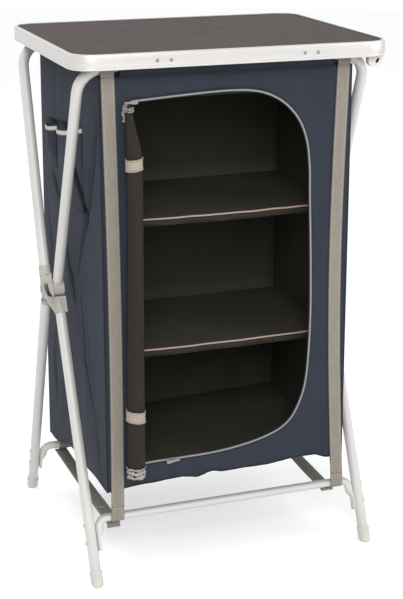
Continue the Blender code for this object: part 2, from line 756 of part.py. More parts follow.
def foot_cap(name, side, inner, stuff, parent):
    """Tapered cap with a collar round its mouth, cut flat where it stands."""
    foot = foot_point(side, inner)
    axis = (hinge_point(side, inner) - foot).normalized()
    across = Vector((1.0, 0.0, 0.0))
    across = (across - axis * across.dot(axis)).normalized()
    up = axis.cross(across)

    def level(radius, z):
        ring = circle(foot, across, up, radius, ROUND_SIDES)
        return [point + axis * ((z - point.z) / axis.z) for point in ring]

    def square(radius, along):
        return circle(foot + axis * along, across, up, radius, ROUND_SIDES)

    collar = FOOT_HEIGHT - FOOT_COLLAR_HEIGHT
    bore = TUBE_RADIUS + GAP
    loops = [
        level(FOOT_SOLE_RADIUS, 0.0), level(FOOT_RADIUS, 0.0025), square(FOOT_TOP_RADIUS, FOOT_FLOOR),
        square(FOOT_TOP_RADIUS, collar), square(FOOT_COLLAR_RADIUS, collar + 0.001),
        square(FOOT_COLLAR_RADIUS, FOOT_HEIGHT), square(bore, FOOT_HEIGHT), square(bore, FOOT_FLOOR),
    ]
    bm = bmesh.new()
    skin(bm, loops)
    return finish(name, bm, stuff["white_plastic"], parent, HINGE)


# Side hinges

def along_leg(direction, across, length, width, distance, side):
    """A point at the hinge: so far along a leg, so far across it and so far out to the side."""
    return HINGE + direction * length + across * width + Vector((side * distance, 0.0, 0.0))


def plate(direction, across, outline, widths, side):
    """A plate across a leg, from an outline of (length, distance to the side) pairs and two widths."""
    bm = bmesh.new()
    skin(bm, [
        [along_leg(direction, across, length, width, distance, side) for length, distance in outline]
        for width in widths
    ])
    return bm


def bar_plate(direction, across, lengths, widths, distances, side):
    near, far = lengths
    low, high = distances
    return plate(direction, across, ((near, low), (far, low), (far, high), (near, high)), widths, side)


def directions(face):
    """Directions of the upper leg, the lower leg and across the lower; face 1 has its upper leg behind."""
    upper = Vector((0.0, face * math.sin(UPPER_ANGLE), math.cos(UPPER_ANGLE)))
    lower = Vector((0.0, -face * math.sin(LOWER_ANGLE), -math.cos(LOWER_ANGLE)))
    middle = Vector((0.0, face * math.cos(LOWER_ANGLE), -math.sin(LOWER_ANGLE)))
    return upper, lower, middle


def disc(near_x, far_x, radius, side, sides=32):
    bm = bmesh.new()
    start = Vector((side * near_x, 0.0, HINGE_Z))
    end = Vector((side * far_x, 0.0, HINGE_Z))
    rod(bm, start, end, radius, sides)
    return bm


def leg_axis(side, inner, upper):
    """Point at the hinge and unit direction of a leg's own centre line."""
    hinge = hinge_point(side, inner)
    end = upper_corner(side, inner) if upper else foot_point(side, inner)
    return hinge, (end - hinge).normalized()


def cylinder(start, along, near, far, radius):
    bm = bmesh.new()
    rod(bm, start + along * near, start + along * far, radius, ROUND_SIDES)
    return bm


def plugged_stub(start, along, near, far):
    """A stub as thick as the tube it meets, with a plug that fills the tube's end."""
    bm = bmesh.new()
    full = TUBE_RADIUS - GAP
    turned(bm, start, along, (
        (near, full), (far, full), (far, PLUG_RADIUS), (far + PLUG_LENGTH, PLUG_RADIUS),
    ), ROUND_SIDES)
    return bm


def front_slot(side):
    """Cutter for the slanting slot in the outer half's front, which leaves the pin's boss."""
    outer = HINGE_OUTER_FACE - 0.002
    outline = (
        (outer, SLOT_TOP), (outer, SLOT_TOP * 0.3), (outer - SLOT_SHIFT * 0.6, -SLOT_FOOT * 0.8),
        (outer - SLOT_SHIFT - SLOT_WIDTH * 0.7, -SLOT_FOOT), (outer - SLOT_SHIFT, 0.0),
        (outer - SLOT_WIDTH * 0.8, SLOT_TOP),
    )
    bm = bmesh.new()
    points = [(side * distance, HINGE_Z + rise) for distance, rise in outline]
    prism(bm, points, -0.04, -SLOT_BACK, axis="Y")
    return bm


def outer_hinge(name, side, stuff, parent):
    """Hinge half that holds the rear upper frame outside and the front lower leg inside."""
    upper, lower, middle = directions(1)
    skin_face = HINGE_OUTER_FACE - 0.0011
    bm = disc(OUTER_LEVEL, HINGE_OUTER_FACE, OUTER_DISC_RADIUS, side)
    half = finish(name, bm, stuff["white_plastic"], parent, HINGE)

    beside = Vector((0.0, upper.z, -upper.y))
    span = (-ARM_WIDTH / 2, ARM_WIDTH / 2)
    arm = bar_plate(upper, beside, (0.0, SLEEVE_START + 0.002), span, (OUTER_LEVEL + 0.0001, skin_face), side)
    combine(half, arm, "UNION")
    start, along = leg_axis(side, inner=False, upper=True)
    end = SLEEVE_START + SLEEVE_LENGTH
    combine(half, cylinder(start, along, SLEEVE_START, end, SLEEVE_RADIUS), "UNION")
    bore = cylinder(start, along, SLEEVE_START + SOCKET_FLOOR, end + 0.01, TUBE_RADIUS + GAP)
    combine(half, bore, "DIFFERENCE")

    block_end = BLOCK_START + BLOCK_LENGTH
    inner = INNER_X - BLOCK_RADIUS + 0.0002
    outer = INNER_X + BLOCK_RADIUS - 0.0002
    reach = (-WEB_FAR_SIDE, WEB_NEAR_SIDE)
    levels = (OUTER_LEVEL + 0.0002, skin_face - 0.0007)
    combine(half, bar_plate(lower, middle, (0.004, WEB_END), reach, levels, side), "UNION")
    span = (reach[0] + 0.0001, reach[1] - 0.0001)
    levels = (inner + 0.0003, OUTER_LEVEL + 0.004)
    bridge = bar_plate(lower, middle, (WEB_START, BLOCK_START + BRIDGE_LAP), span, levels, side)
    combine(half, bridge, "UNION")
    far = -BLOCK_RADIUS + 0.0004
    cheek = plate(lower, middle, (
        (0.006, OUTER_LEVEL + 0.0003), (0.006, skin_face - 0.0004), (WEB_START, skin_face - 0.0004),
        (block_end - 0.0002, outer - 0.0002), (block_end - 0.0002, inner), (BLOCK_SHOULDER, inner),
        (BLOCK_SHOULDER, OUTER_LEVEL + 0.0003),
    ), (far, far + 0.0082), side)
    combine(half, cheek, "UNION")

    start, along = leg_axis(side, inner=True, upper=False)
    combine(half, cylinder(start, along, BLOCK_START, block_end, BLOCK_RADIUS), "UNION")
    bore = cylinder(start, along, BLOCK_START + SOCKET_FLOOR, block_end + 0.01, TUBE_RADIUS + GAP)
    combine(half, bore, "DIFFERENCE")

    combine(half, front_slot(side), "DIFFERENCE")
    recess_floor = HINGE_OUTER_FACE - PIN_RECESS_DEPTH
    recess = disc(recess_floor, HINGE_OUTER_FACE + 0.01, PIN_HEAD_RADIUS + 2 * GAP, side, 24)
    combine(half, recess, "DIFFERENCE")
    hole = disc(HINGE_INNER_FACE - 0.01, HINGE_OUTER_FACE + 0.01, PIN_RADIUS + GAP, side, 16)
    combine(half, hole, "DIFFERENCE")
    return half


def inner_hinge(name, side, stuff, parent):
    """Hinge half that holds the front upper frame inside and the rear lower leg outside."""
    lower, middle = directions(-1)[1:]
    bm = disc(HINGE_INNER_FACE, INNER_LEVEL, INNER_DISC_RADIUS, side)
    half = finish(name, bm, stuff["white_plastic"], parent, HINGE)

    start, along = leg_axis(side, inner=True, upper=True)
    combine(half, plugged_stub(start, along, 0.004, UPPER_STUB_END), "UNION")

    reach = (-WEB_FAR_SIDE, WEB_NEAR_SIDE)
    levels = (HINGE_INNER_FACE + 0.0007, INNER_LEVEL - 0.0002)
    combine(half, bar_plate(lower, middle, (0.004, WEB_END), reach, levels, side), "UNION")
    span = (reach[0] + 0.0001, reach[1] - 0.0001)
    levels = (INNER_LEVEL - 0.004, HINGE_OUTER_FACE - 0.003)
    bridge = bar_plate(lower, middle, (WEB_START, BLOCK_START + BRIDGE_LAP), span, levels, side)
    combine(half, bridge, "UNION")

    start, along = leg_axis(side, inner=False, upper=False)
    combine(half, plugged_stub(start, along, BLOCK_START, BLOCK_START + STUB_LENGTH), "UNION")

    hole = disc(HINGE_INNER_FACE - 0.01, HINGE_OUTER_FACE + 0.01, PIN_RADIUS + GAP, side, 16)
    combine(half, hole, "DIFFERENCE")
    return half


def hinge_pin(name, side, stuff, parent):
    """Riveted pin through both halves, its outer head sunk in the outer half's recess."""
    bm = bmesh.new()
    seat = HINGE_OUTER_FACE - PIN_RECESS_DEPTH + GAP
    inner_seat = HINGE_INNER_FACE - GAP
    length = seat - inner_seat
    turned(bm, Vector((side * seat, 0.0, HINGE_Z)), Vector((-side, 0.0, 0.0)), (
        (-PIN_HEAD_HEIGHT, PIN_HEAD_RADIUS * 0.7), (-PIN_HEAD_HEIGHT * 0.5, PIN_HEAD_RADIUS),
        (0.0, PIN_HEAD_RADIUS), (0.0, PIN_RADIUS), (length, PIN_RADIUS),
        (length, PIN_HEAD_RADIUS), (length + PIN_HEAD_HEIGHT * 0.6, PIN_HEAD_RADIUS * 0.8),
    ), 16)
    return finish(name, bm, stuff["rivet_steel"], parent, HINGE)


# Webbing

def web_x(side, z):
    """Centre line of a strap: its two loops sit at their own places, and it bows inward between them."""
    top, low, bow = (
        (LEFT_WEB_TOP_X, LEFT_WEB_LOWER_X, LEFT_WEB_BOW) if side < 0
        else (RIGHT_WEB_TOP_X, RIGHT_WEB_LOWER_X, RIGHT_WEB_BOW)
    )
    share = min(max((z - LOWER_BAR_Z) / (TOP_BAR_Z - LOWER_BAR_Z), 0.0), 1.0)
    return side * (lerp(low, top, share) - bow * math.sin(math.pi * share))


def bend_drop(x, inner):
    """How far the top bar's middle line has bent down towards its leg at a distance from the middle plane."""
    start = (FRONT_TOP_X if inner else REAR_TOP_X) - TUBE_BEND
    past = max(abs(x) - start, 0.0)
    return TUBE_BEND - math.sqrt(TUBE_BEND ** 2 - past ** 2)


def ribbon(bm, side, path, looped=None):
    """Webbing along a path of (y, z) points in its middle; a looped end follows the bend of the bar."""
    loops = []
    for index, (y, z) in enumerate(path):
        ahead = path[min(index + 1, len(path) - 1)]
        behind = path[max(index - 1, 0)]
        run = Vector((ahead[0] - behind[0], ahead[1] - behind[1])).normalized()
        normal = (-run.y * WEB_THICKNESS / 2, run.x * WEB_THICKNESS / 2)
        middle = web_x(side, z)
        loop = []
        for across, out in ((-1, -1), (0, -1), (1, -1), (1, 1), (0, 1), (-1, 1)):
            x = middle + across * WEB_WIDTH / 2
            drop = 0.0
            if looped is not None and z > TOP_BAR_Z - 2 * TUBE_RADIUS:
                drop = bend_drop(x, looped < 0)
            y_drop = looped * drop * math.sin(UPPER_ANGLE) if drop and abs(y) < TOP_BAR_Y else 0.0
            z_drop = drop * math.cos(UPPER_ANGLE)
            loop.append(Vector((x, y + out * normal[0] - y_drop, z + out * normal[1] - z_drop)))
        loops.append(loop)
    skin(bm, loops)


def arc(centre_y, centre_z, radius, start, end, steps):
    """Points (y, z) of an arc between two angles in degrees, from the outside of the cupboard at 0."""
    points = []
    for step in range(steps + 1):
        turn = math.radians(lerp(start, end, step / steps))
        points.append((centre_y + radius * math.cos(turn), centre_z + radius * math.sin(turn)))
    return points


def upright_strap(name, side, face, stuff, parent):
    """Strap stitched round the top bar, down in front of the cabinet and round the lower bar."""
    half = WEB_THICKNESS / 2
    top_radius = TUBE_RADIUS + LOOP_SLACK + half
    low_radius = LOWER_RADIUS + GAP + half
    path = [(WEB_TOP_Y - 2 * GAP, TOP_BAR_Z - top_radius)]
    path += arc(TOP_BAR_Y, TOP_BAR_Z, top_radius, 270, 0, 16)
    for step in range(1, 12):
        z = lerp(TOP_BAR_Z, LOWER_BAR_Z, step / 12)
        path.append((wall_y(z) + GAP + half, z))
    path += arc(LOWER_BAR_Y, LOWER_BAR_Z, low_radius, 0, -90, 6)
    path.append((LOWER_BAR_Y - WRAP_LENGTH, LOWER_BAR_Z - low_radius))
    bm = bmesh.new()
    ribbon(bm, side, [(face * y, z) for y, z in path], looped=face)
    return finish(name, bm, stuff["webbing"], parent)


def bottom_strap(name, ends, drop, stuff, parent):
    """Strap under the cabinet, stitched below both wrapped ends; its front end hangs down as a tail."""
    z = LOWER_BAR_Z - LOWER_RADIUS - 2 * GAP - 1.5 * WEB_THICKNESS
    front = -LOWER_BAR_Y - 0.0005
    path = [(front - 0.0022, z - drop), (front - 0.0018, z - drop * 0.5), (front - 0.0008, z - 0.0008)]
    path += [(lerp(front + 0.001, LOWER_BAR_Y, step / 5), z) for step in range(6)]
    loops = []
    for index, (y, height) in enumerate(path):
        ahead = path[min(index + 1, len(path) - 1)]
        behind = path[max(index - 1, 0)]
        run = Vector((ahead[0] - behind[0], ahead[1] - behind[1])).normalized() * WEB_THICKNESS / 2
        middle = lerp(ends[0], ends[1], 0.5 + y / (2 * LOWER_BAR_Y))
        loops.append([
            Vector((middle + across * WEB_WIDTH / 2, y - out * run.y, height + out * run.x))
            for across, out in ((-1, -1), (1, -1), (1, 1), (-1, 1))
        ])
    bm = bmesh.new()
    skin(bm, loops)
    return finish(name, bm, stuff["dark_webbing"], parent)


# Cabinet

def sheet(bm, outer, inner, columns, rows):
    """A closed sheet between two surfaces; each is a function of two shares from 0 to 1."""
    grids = []
    for surface in (outer, inner):
        grids.append([
            [bm.verts.new(surface(column / columns, row / rows)) for row in range(rows + 1)]
            for column in range(columns + 1)
        ])
    for grid in grids:
        for column in range(columns):
            for row in range(rows):
                bm.faces.new((grid[column][row], grid[column + 1][row],
                              grid[column + 1][row + 1], grid[column][row + 1]))
    border = [(column, 0) for column in range(columns)]
    border += [(columns, row) for row in range(rows)]
    border += [(column, rows) for column in range(columns, 0, -1)]
    border += [(0, row) for row in range(rows, 0, -1)]
    for first, second in zip(border, border[1:] + border[:1]):
        bm.faces.new((grids[0][first[0]][first[1]], grids[0][second[0]][second[1]],
                      grids[1][second[0]][second[1]], grids[1][first[0]][first[1]]))


def side_panel(name, side, stuff, parent):
    """Side of the cabinet, swelling a little between the shelves, with shallow pleats."""
    def surface(inset):
        def point(share, height):
            z = lerp(hem_z(side * CABINET_REAR_X), CABINET_TOP_Z, height)
            reach = wall_y(z) - CLOTH - GAP
            y = lerp(-reach, reach, share)
            return Vector((side * (side_x(y, z) - inset), y, z))
        return point
    bm = bmesh.new()
    sheet(bm, surface(0.0), surface(CLOTH), 8, 18)
    return finish(name, bm, stuff["cabinet_cloth"], parent)


def back_panel(stuff, parent):
    def surface(inset):
        def point(share, height):
            x = lerp(-CABINET_REAR_X, CABINET_REAR_X, share)
            z = lerp(hem_z(x), CABINET_TOP_Z, height)
            return Vector((x, wall_y(z) - inset, z))
        return point
    bm = bmesh.new()
    sheet(bm, surface(0.0), surface(CLOTH), 8, 8)
    return finish("back_panel", bm, stuff["cabinet_cloth"], parent)


def rounded_outline(corners, radii, steps):
    """A closed flat outline of (x, z) points whose corners are arcs."""
    points = []
    count = len(corners)
    for index in range(count):
        before = Vector(corners[index - 1])
        corner = Vector(corners[index])
        after = Vector(corners[(index + 1) % count])
        into = (before - corner).normalized()
        out = (after - corner).normalized()
        half = math.acos(into.dot(out)) / 2
        reach = radii[index] / math.tan(half)
        centre = corner + (into + out).normalized() * (radii[index] / math.sin(half))
        start = corner + into * reach - centre
        end = corner + out * reach - centre
        sweep = math.acos(start.normalized().dot(end.normalized()))
        for step in range(steps + 1):
            turn = sweep * step / steps
            point = (start * math.sin(sweep - turn) + end * math.sin(turn)) / math.sin(sweep)
            points.append(centre + point)
    return points


def door_outline(offset):
    """The D-shaped door opening, from its lower left corner up and round, grown by an offset."""
    corners = (
        (DOOR_BOTTOM_LEFT[0] - offset, DOOR_BOTTOM_LEFT[1] - offset),
        (DOOR_TOP_LEFT[0] - offset, DOOR_TOP_LEFT[1] + offset),
        (DOOR_TOP_RIGHT[0] + offset, DOOR_TOP_RIGHT[1] + offset),
        (DOOR_BOTTOM_RIGHT[0] + offset, DOOR_BOTTOM_RIGHT[1] - offset),
    )
    radii = (DOOR_LEFT_RADIUS + offset, DOOR_LEFT_RADIUS + offset, DOOR_TOP_RADIUS + offset,
             DOOR_BOTTOM_RADIUS + offset)
    return rounded_outline(corners, radii, 12)


def spaced(points, length):
    """Points of a closed outline with more set between those that lie further apart than a length."""
    result = []
    for first, second in zip(points, points[1:] + points[:1]):
        pieces = max(1, math.ceil((second - first).length / length))
        result += [first.lerp(second, piece / pieces) for piece in range(pieces)]
    return result


def ray_to_edge(centre, point, corners):
    """Where the ray from the centre through a point meets the panel's edge."""
    direction = point - centre
    best = None
    for first, second in zip(corners, corners[1:] + corners[:1]):
        edge = second - first
        cross = direction.x * edge.y - direction.y * edge.x
        if abs(cross) < 1e-12:
            continue
        offset = first - centre
        reach = (offset.x * edge.y - offset.y * edge.x) / cross
        share = (offset.x * direction.y - offset.y * direction.x) / cross
        if reach > 0 and -1e-9 <= share <= 1 + 1e-9:
            best = reach if best is None else min(best, reach)
    return centre + direction * best


def hem_wave(x, z):
    """The lower edge of the front is slack, so it runs in and out a little."""
    edge = max(0.0, 1.0 - (z - hem_z(x)) / 0.035)
    free = max(0.0, 1.0 - (x / (CABINET_FRONT_X - 0.004)) ** 4)
    return HEM_WAVE * edge * free * (0.5 - 0.5 * math.cos(30.0 * x + 1.5))


def front_panel(stuff, parent):
    """Front of the cabinet round the door opening."""
    opening = spaced(door_outline(0.0), 0.06)
    corners = [
        Vector((-CABINET_FRONT_X, hem_z(-CABINET_FRONT_X))), Vector((-CABINET_FRONT_X, CABINET_TOP_Z)),
        Vector((CABINET_FRONT_X, CABINET_TOP_Z)), Vector((CABINET_FRONT_X, hem_z(CABINET_FRONT_X))),
    ]
    centre = Vector((0.0, lerp(HEM_LEFT_Z, CABINET_TOP_Z, 0.5)))
    edge = [ray_to_edge(centre, point, corners) for point in opening]
    for corner in corners:
        nearest = min(range(len(edge)), key=lambda index: (edge[index] - corner).length)
        edge[nearest] = corner
    rings = [[near.lerp(far, share) for near, far in zip(opening, edge)] for share in (0.0, 0.5, 1.0)]

    def placed(ring, inset):
        return [
            Vector((point.x, inset - wall_y(point.y) + hem_wave(point.x, point.y), point.y)) for point in ring
        ]

    loops = [placed(ring, 0.0) for ring in rings]
    loops += [placed(ring, CLOTH) for ring in reversed(rings)]
    bm = bmesh.new()
    skin(bm, loops, wrap=True)
    return finish("front_panel", bm, stuff["cabinet_cloth"], parent)


def cabinet_floor(stuff, parent):
    """Floor of the cabinet, a sheet that fills the walls' inside."""
    def surface(drop):
        def point(share, depth):
            width = lerp(-1.0, 1.0, share)
            z = hem_z(width * CABINET_FRONT_X) + FLOOR_ABOVE_HEM - drop
            reach = wall_y(z) - CLOTH - GAP - HEM_WAVE
            y = lerp(-reach, reach, depth)
            return Vector((width * (side_x(y, z) - CLOTH - GAP), y, z))
        return point
    bm = bmesh.new()
    sheet(bm, surface(0.0), surface(CLOTH), 6, 8)
    return finish("cabinet_floor", bm, stuff["inner_cloth"], parent)


def cabinet_top(stuff, parent):
    """Top of the cabinet, whose front and rear ends run round the top bars as sleeves between the straps."""
    radius = TUBE_RADIUS + GAP + CLOTH / 2
    low = TOP_BAR_Z - radius
    flat = CABINET_TOP_Z - CLOTH
    spots = arc(TOP_BAR_Y, TOP_BAR_Z, radius, CLOTH_SLEEVE_TAIL, -90, 14)
    spots += [(TOP_BAR_Y - 0.004, low - 0.0006), (TOP_BAR_Y - 0.009, flat + 0.001)]
    half = [(y, z, CLOTH_SLEEVE_HALF_WIDTH) for y, z in spots]
    reach = TOP_BAR_Y - 0.014
    half += [(reach, flat, None), (reach * 0.5, flat, None)]
    path = [(-y, z, width) for y, z, width in half] + [(0.0, flat, None)] + list(reversed(half))
    loops = []
    for index, (y, z, width) in enumerate(path):
        ahead = path[min(index + 1, len(path) - 1)]
        behind = path[max(index - 1, 0)]
        run = Vector((ahead[0] - behind[0], ahead[1] - behind[1])).normalized() * CLOTH / 2
        if width is None:
            width = side_x(y, z) - CLOTH - GAP
        loops.append([
            Vector((across * width, y - out * run.y, z + out * run.x))
            for across, out in ((-1, -1), (0, -1), (1, -1), (1, 1), (0, 1), (-1, 1))
        ])
    bm = bmesh.new()
    skin(bm, loops)
    return finish("cabinet_top", bm, stuff["inner_cloth"], parent)


def shelf(name, z, stuff, parent):
    """A stiffened shelf, rounded along its bound front edge."""
    half = SHELF_DEPTH / 2
    thick = SHELF_THICKNESS / 2
    loops = []
    outline = [(half, -thick), (half, thick), (-half + thick, thick)]
    outline += [
        (-half + thick - thick * math.sin(turn), thick * math.cos(turn))
        for turn in (math.pi * step / 6 for step in range(1, 6))
    ]
    outline += [(-half + thick, -thick)]
    for side in (-1, 1):
        loop = []
        for y, rise in outline:
            inside = side_x(y, z) - CLOTH - GAP
            loop.append(Vector((side * inside, y, z + rise)))
        loops.append(loop)
    bm = bmesh.new()
    skin(bm, loops)
    return finish(name, bm, stuff["inner_cloth"], parent, (0.0, 0.0, z))


# Door, zip and ties

def zip_path():
    """Middle of the zip tape, from behind the roll over the top, round the right side and back below."""
    outline = door_outline(ZIP_WIDTH / 2)
    steps = 13
    right_side = outline[2 * steps:]
    top_start, top_end = outline[2 * steps - 1], outline[2 * steps]
    low_start, low_end = outline[0], outline[-1]

    def extended(start, end):
        run = (start - end).normalized()
        return start + run * ((ZIP_START_X - start.x) / run.x)

    return [extended(top_start, top_end)] + right_side + [extended(low_start, low_end)]


def zip_track(stuff, parent):
    """Raised tape along the curved edge of the opening."""
    path = zip_path()
    loops = []
    for index, point in enumerate(path):
        ahead = path[min(index + 1, len(path) - 1)]
        behind = path[max(index - 1, 0)]
        run = (ahead - behind).normalized()
        normal = Vector((-run.y, run.x)) * ZIP_WIDTH / 2
        loop = []
        for out, rise in ((-1, 0.0), (1, 0.0), (1, 0.7), (0.4, 1.0), (-0.4, 1.0), (-1, 0.7)):
            spot = point + normal * out
            loop.append(Vector((spot.x, -wall_y(spot.y) - GAP - ZIP_THICKNESS * rise, spot.y)))
        loops.append(loop)
    bm = bmesh.new()
    skin(bm, loops)
    return finish("zip_track", bm, stuff["zip_tape"], parent)


def zip_line(x, upper):
    """Point (x, z) on a straight run of the zip, and the run's direction towards the right."""
    outline = zip_path()
    if upper:
        start, end = outline[0], outline[1]
    else:
        start, end = outline[-1], outline[-2]
    run = (end - start).normalized()
    return start + run * ((x - start.x) / run.x), run


def zip_slider(name, x, upper, pull_side, stuff, parent):
    """Slider body over the tape with its pull folded along the zip."""
    spot, run = zip_line(x, upper)
    normal = Vector((-run.y, run.x))
    seat = GAP + ZIP_THICKNESS + GAP

    def box(low, high, width, near, far):
        loops = []
        for out in (near, far):
            loop = []
            for along, across in ((low, -1), (high, -1), (high, 1), (low, 1)):
                point = spot + run * along + normal * (across * width / 2)
                loop.append(Vector((point.x, -wall_y(point.y) - out, point.y)))
            loops.append(loop)
        bm = bmesh.new()
        skin(bm, loops)
        bevelled = list(bm.edges)
        bmesh.ops.bevel(bm, geom=bevelled, offset=0.0006, segments=2, profile=0.5, affect="EDGES",
                        material=-1)
        return bm

    half = SLIDER_LENGTH / 2
    origin = Vector((spot.x, -wall_y(spot.y), spot.y))
    body = box(-half, half, SLIDER_WIDTH, seat, seat + SLIDER_THICKNESS)
    slider = finish(name, body, stuff["zip_metal"], parent, origin)
    near = seat + SLIDER_THICKNESS - 0.0007
    ends = sorted((0.0, pull_side * PULL_LENGTH))
    pull = box(ends[0], ends[1], PULL_WIDTH, near, near + 0.0020)
    combine(slider, pull, "UNION")
    return slider


def roll_radius(z):
    """The roll is a little thicker at its foot and drawn in by its two ties."""
    share = (z - ROLL_BOTTOM_Z) / (ROLL_TOP_Z - ROLL_BOTTOM_Z)
    radius = lerp(ROLL_BOTTOM_RADIUS, ROLL_TOP_RADIUS, share)
    radius -= ROLL_TAPER * math.exp(-((ROLL_TOP_Z - z) / ROLL_TAPER_LENGTH) ** 2)
    for tie in (TIE_TOP_Z, TIE_LOWER_Z):
        radius -= ROLL_PINCH * math.exp(-((z - tie) / 0.018) ** 2)
    return radius


def tie_bore(z):
    """Inner radius of a tie at its corners, so that its flats clear the roll."""
    return (roll_radius(z) + GAP) / math.cos(math.pi / ROUND_SIDES)


def roll_centre(z):
    """The roll hangs on its ties, which pass between it and the panel."""
    return Vector((ROLL_X, -wall_y(z) - TIE_THICKNESS - GAP - tie_bore(z), z))


def door_roll(stuff, parent):
    """Door cloth rolled up on itself; its sewn edge runs to the panel except at the ties and the zip."""
    heights = {round(lerp(ROLL_BOTTOM_Z, ROLL_TOP_Z, step / 12), 5) for step in range(13)}
    for middle in (TIE_TOP_Z, TIE_LOWER_Z):
        heights -= {height for height in heights if abs(height - middle) < 0.026}
        heights |= {round(middle + offset, 5) for offset in (-0.024, -0.018, 0.0, 0.018, 0.024)}
    loops = []
    for z in sorted(heights):
        centre = roll_centre(z)
        tied = min(abs(z - TIE_TOP_Z), abs(z - TIE_LOWER_Z)) < 0.02
        tied = tied or z < DOOR_BOTTOM_LEFT[1] + ZIP_WIDTH
        loop = []
        for step in range(ROLL_SIDES):
            turn = math.pi / 2 + 2 * math.pi * (step + 0.5) / ROLL_SIDES
            radius = roll_radius(z) - ROLL_STEP * step / ROLL_SIDES
            loop.append(centre + Vector((radius * math.cos(turn), radius * math.sin(turn), 0.0)))
        edge_y = -wall_y(z) - GAP
        if tied:
            edge_y = centre.y + roll_radius(z) * 0.96
        loop.append(Vector((centre.x + CLOTH, edge_y, z)))
        loop.append(Vector((centre.x, edge_y, z)))
        loops.append(loop)
    bm = bmesh.new()
    skin(bm, loops)
    return finish("door_roll", bm, stuff["door_cloth"], parent)


def tie(name, z, tilt, stuff, parent):
    """Band round the rolled door, sewn to the panel behind it."""
    loops = []
    for rise, growth in ((-0.5, 0.0), (0.5, 0.0), (0.5, TIE_THICKNESS), (-0.5, TIE_THICKNESS)):
        loop = []
        for step in range(ROUND_SIDES):
            turn = 2 * math.pi * step / ROUND_SIDES
            height = z + rise * TIE_WIDTH + tilt * ROLL_TOP_RADIUS * math.cos(turn)
            centre = roll_centre(height)
            radius = tie_bore(height) + growth
            loop.append(centre + Vector((radius * math.cos(turn), radius * math.sin(turn), 0.0)))
        loops.append(loop)
    bm = bmesh.new()
    skin(bm, loops, wrap=True)
    return finish(name, bm, stuff["tie_cloth"], parent)


def pocket(name, span, depth, stuff, parent):
    """Open pouch on the left side, with a thicker bound mouth."""
    middle = (span[0] + span[1]) / 2
    half = (span[1] - span[0]) / 2

    def level(z, bulge, inset):
        loop = []
        count = 12
        for step in range(count + 1):
            turn = math.pi * step / count
            y = middle + (half - inset) * math.cos(turn)
            out = GAP + CLOTH + (bulge - CLOTH) * math.sin(turn) ** 0.6 if inset == 0 else (
                GAP + CLOTH + (bulge - CLOTH - inset) * math.sin(turn) ** 0.6)
            loop.append(Vector((-side_x(y, z) - out, y, z)))
        for step in range(count, -1, -1):
            turn = math.pi * step / count
            y = middle + (half - inset) * math.cos(turn)
            back = GAP if inset == 0 else GAP + CLOTH * 0.6
            loop.append(Vector((-side_x(y, z) - back, y, z)))
        return loop

    low = POCKET_MOUTH_Z - depth
    thick = CLOTH
    loops = [
        level(low, POCKET_BULGE * 0.35, 0.0), level(low + depth * 0.3, POCKET_BULGE * 0.75, 0.0),
        level(POCKET_MOUTH_Z - 0.012, POCKET_BULGE, 0.0), level(POCKET_MOUTH_Z, POCKET_BULGE + BINDING, 0.0),
        level(POCKET_MOUTH_Z, POCKET_BULGE, thick), level(low + depth * 0.3, POCKET_BULGE * 0.75, thick),
    ]
    bm = bmesh.new()
    skin(bm, loops)
    return finish(name, bm, stuff["cabinet_cloth"], parent)


# The whole cupboard

def clear_scene():
    for thing in list(bpy.data.objects):
        bpy.data.objects.remove(thing, do_unlink=True)


def make_top(stuff):
    guide = empty("top_lift", (0.0, 0.0, BOARD_TOP))
    top_rim(stuff, guide)
    top_board(stuff, guide)
    for side, word in ((-1, "left"), (1, "right")):
        top_clip(f"front_rest_{word}", side, -1, stuff, guide)
        top_clip(f"rear_saddle_{word}", side, 1, stuff, guide)
    corner_clip(stuff, guide)
    front = [x for x, face in clip_rivets() if face < 0]
    for number, x in enumerate(front, 1):
        bm = bmesh.new()
        rim_rivet_body(bm, x, -1)
        origin = (x, -TOP_DEPTH / 2, RIVET_Z)
        finish(f"rim_rivet_{number}", bm, stuff["rivet_steel"], guide, origin)


def make_frames(stuff):
    rear = empty("rear_frame_axis", HINGE)
    front = empty("front_frame_axis", HINGE)
    upper_frame("rear_upper_frame", False, SLEEVE_START + SOCKET_FLOOR + GAP, stuff, rear, plugged=False)
    upper_frame("front_upper_frame", True, UPPER_STUB_END + GAP, stuff, front, plugged=True)
    lower_bar("front_lower_bar", True, stuff, rear)
    lower_bar("rear_lower_bar", False, stuff, front)
    for side, word in ((-1, "left"), (1, "right")):
        front_start = BLOCK_START + SOCKET_FLOOR + GAP
        rear_start = BLOCK_START + STUB_LENGTH + GAP
        lower_leg(f"front_leg_{word}", side, True, front_start, stuff, rear, plugged=False)
        lower_leg(f"rear_leg_{word}", side, False, rear_start, stuff, front, plugged=True)
        leg_rivets(f"front_leg_rivet_{word}", side, True, stuff, rear)
        leg_rivets(f"rear_leg_rivet_{word}", side, False, stuff, front)
        foot_cap(f"front_foot_{word}", side, True, stuff, rear)
        foot_cap(f"rear_foot_{word}", side, False, stuff, front)
        outer_hinge(f"outer_hinge_{word}", side, stuff, rear)
        inner_hinge(f"inner_hinge_{word}", side, stuff, front)
        hinge_pin(f"hinge_pin_{word}", side, stuff, rear)


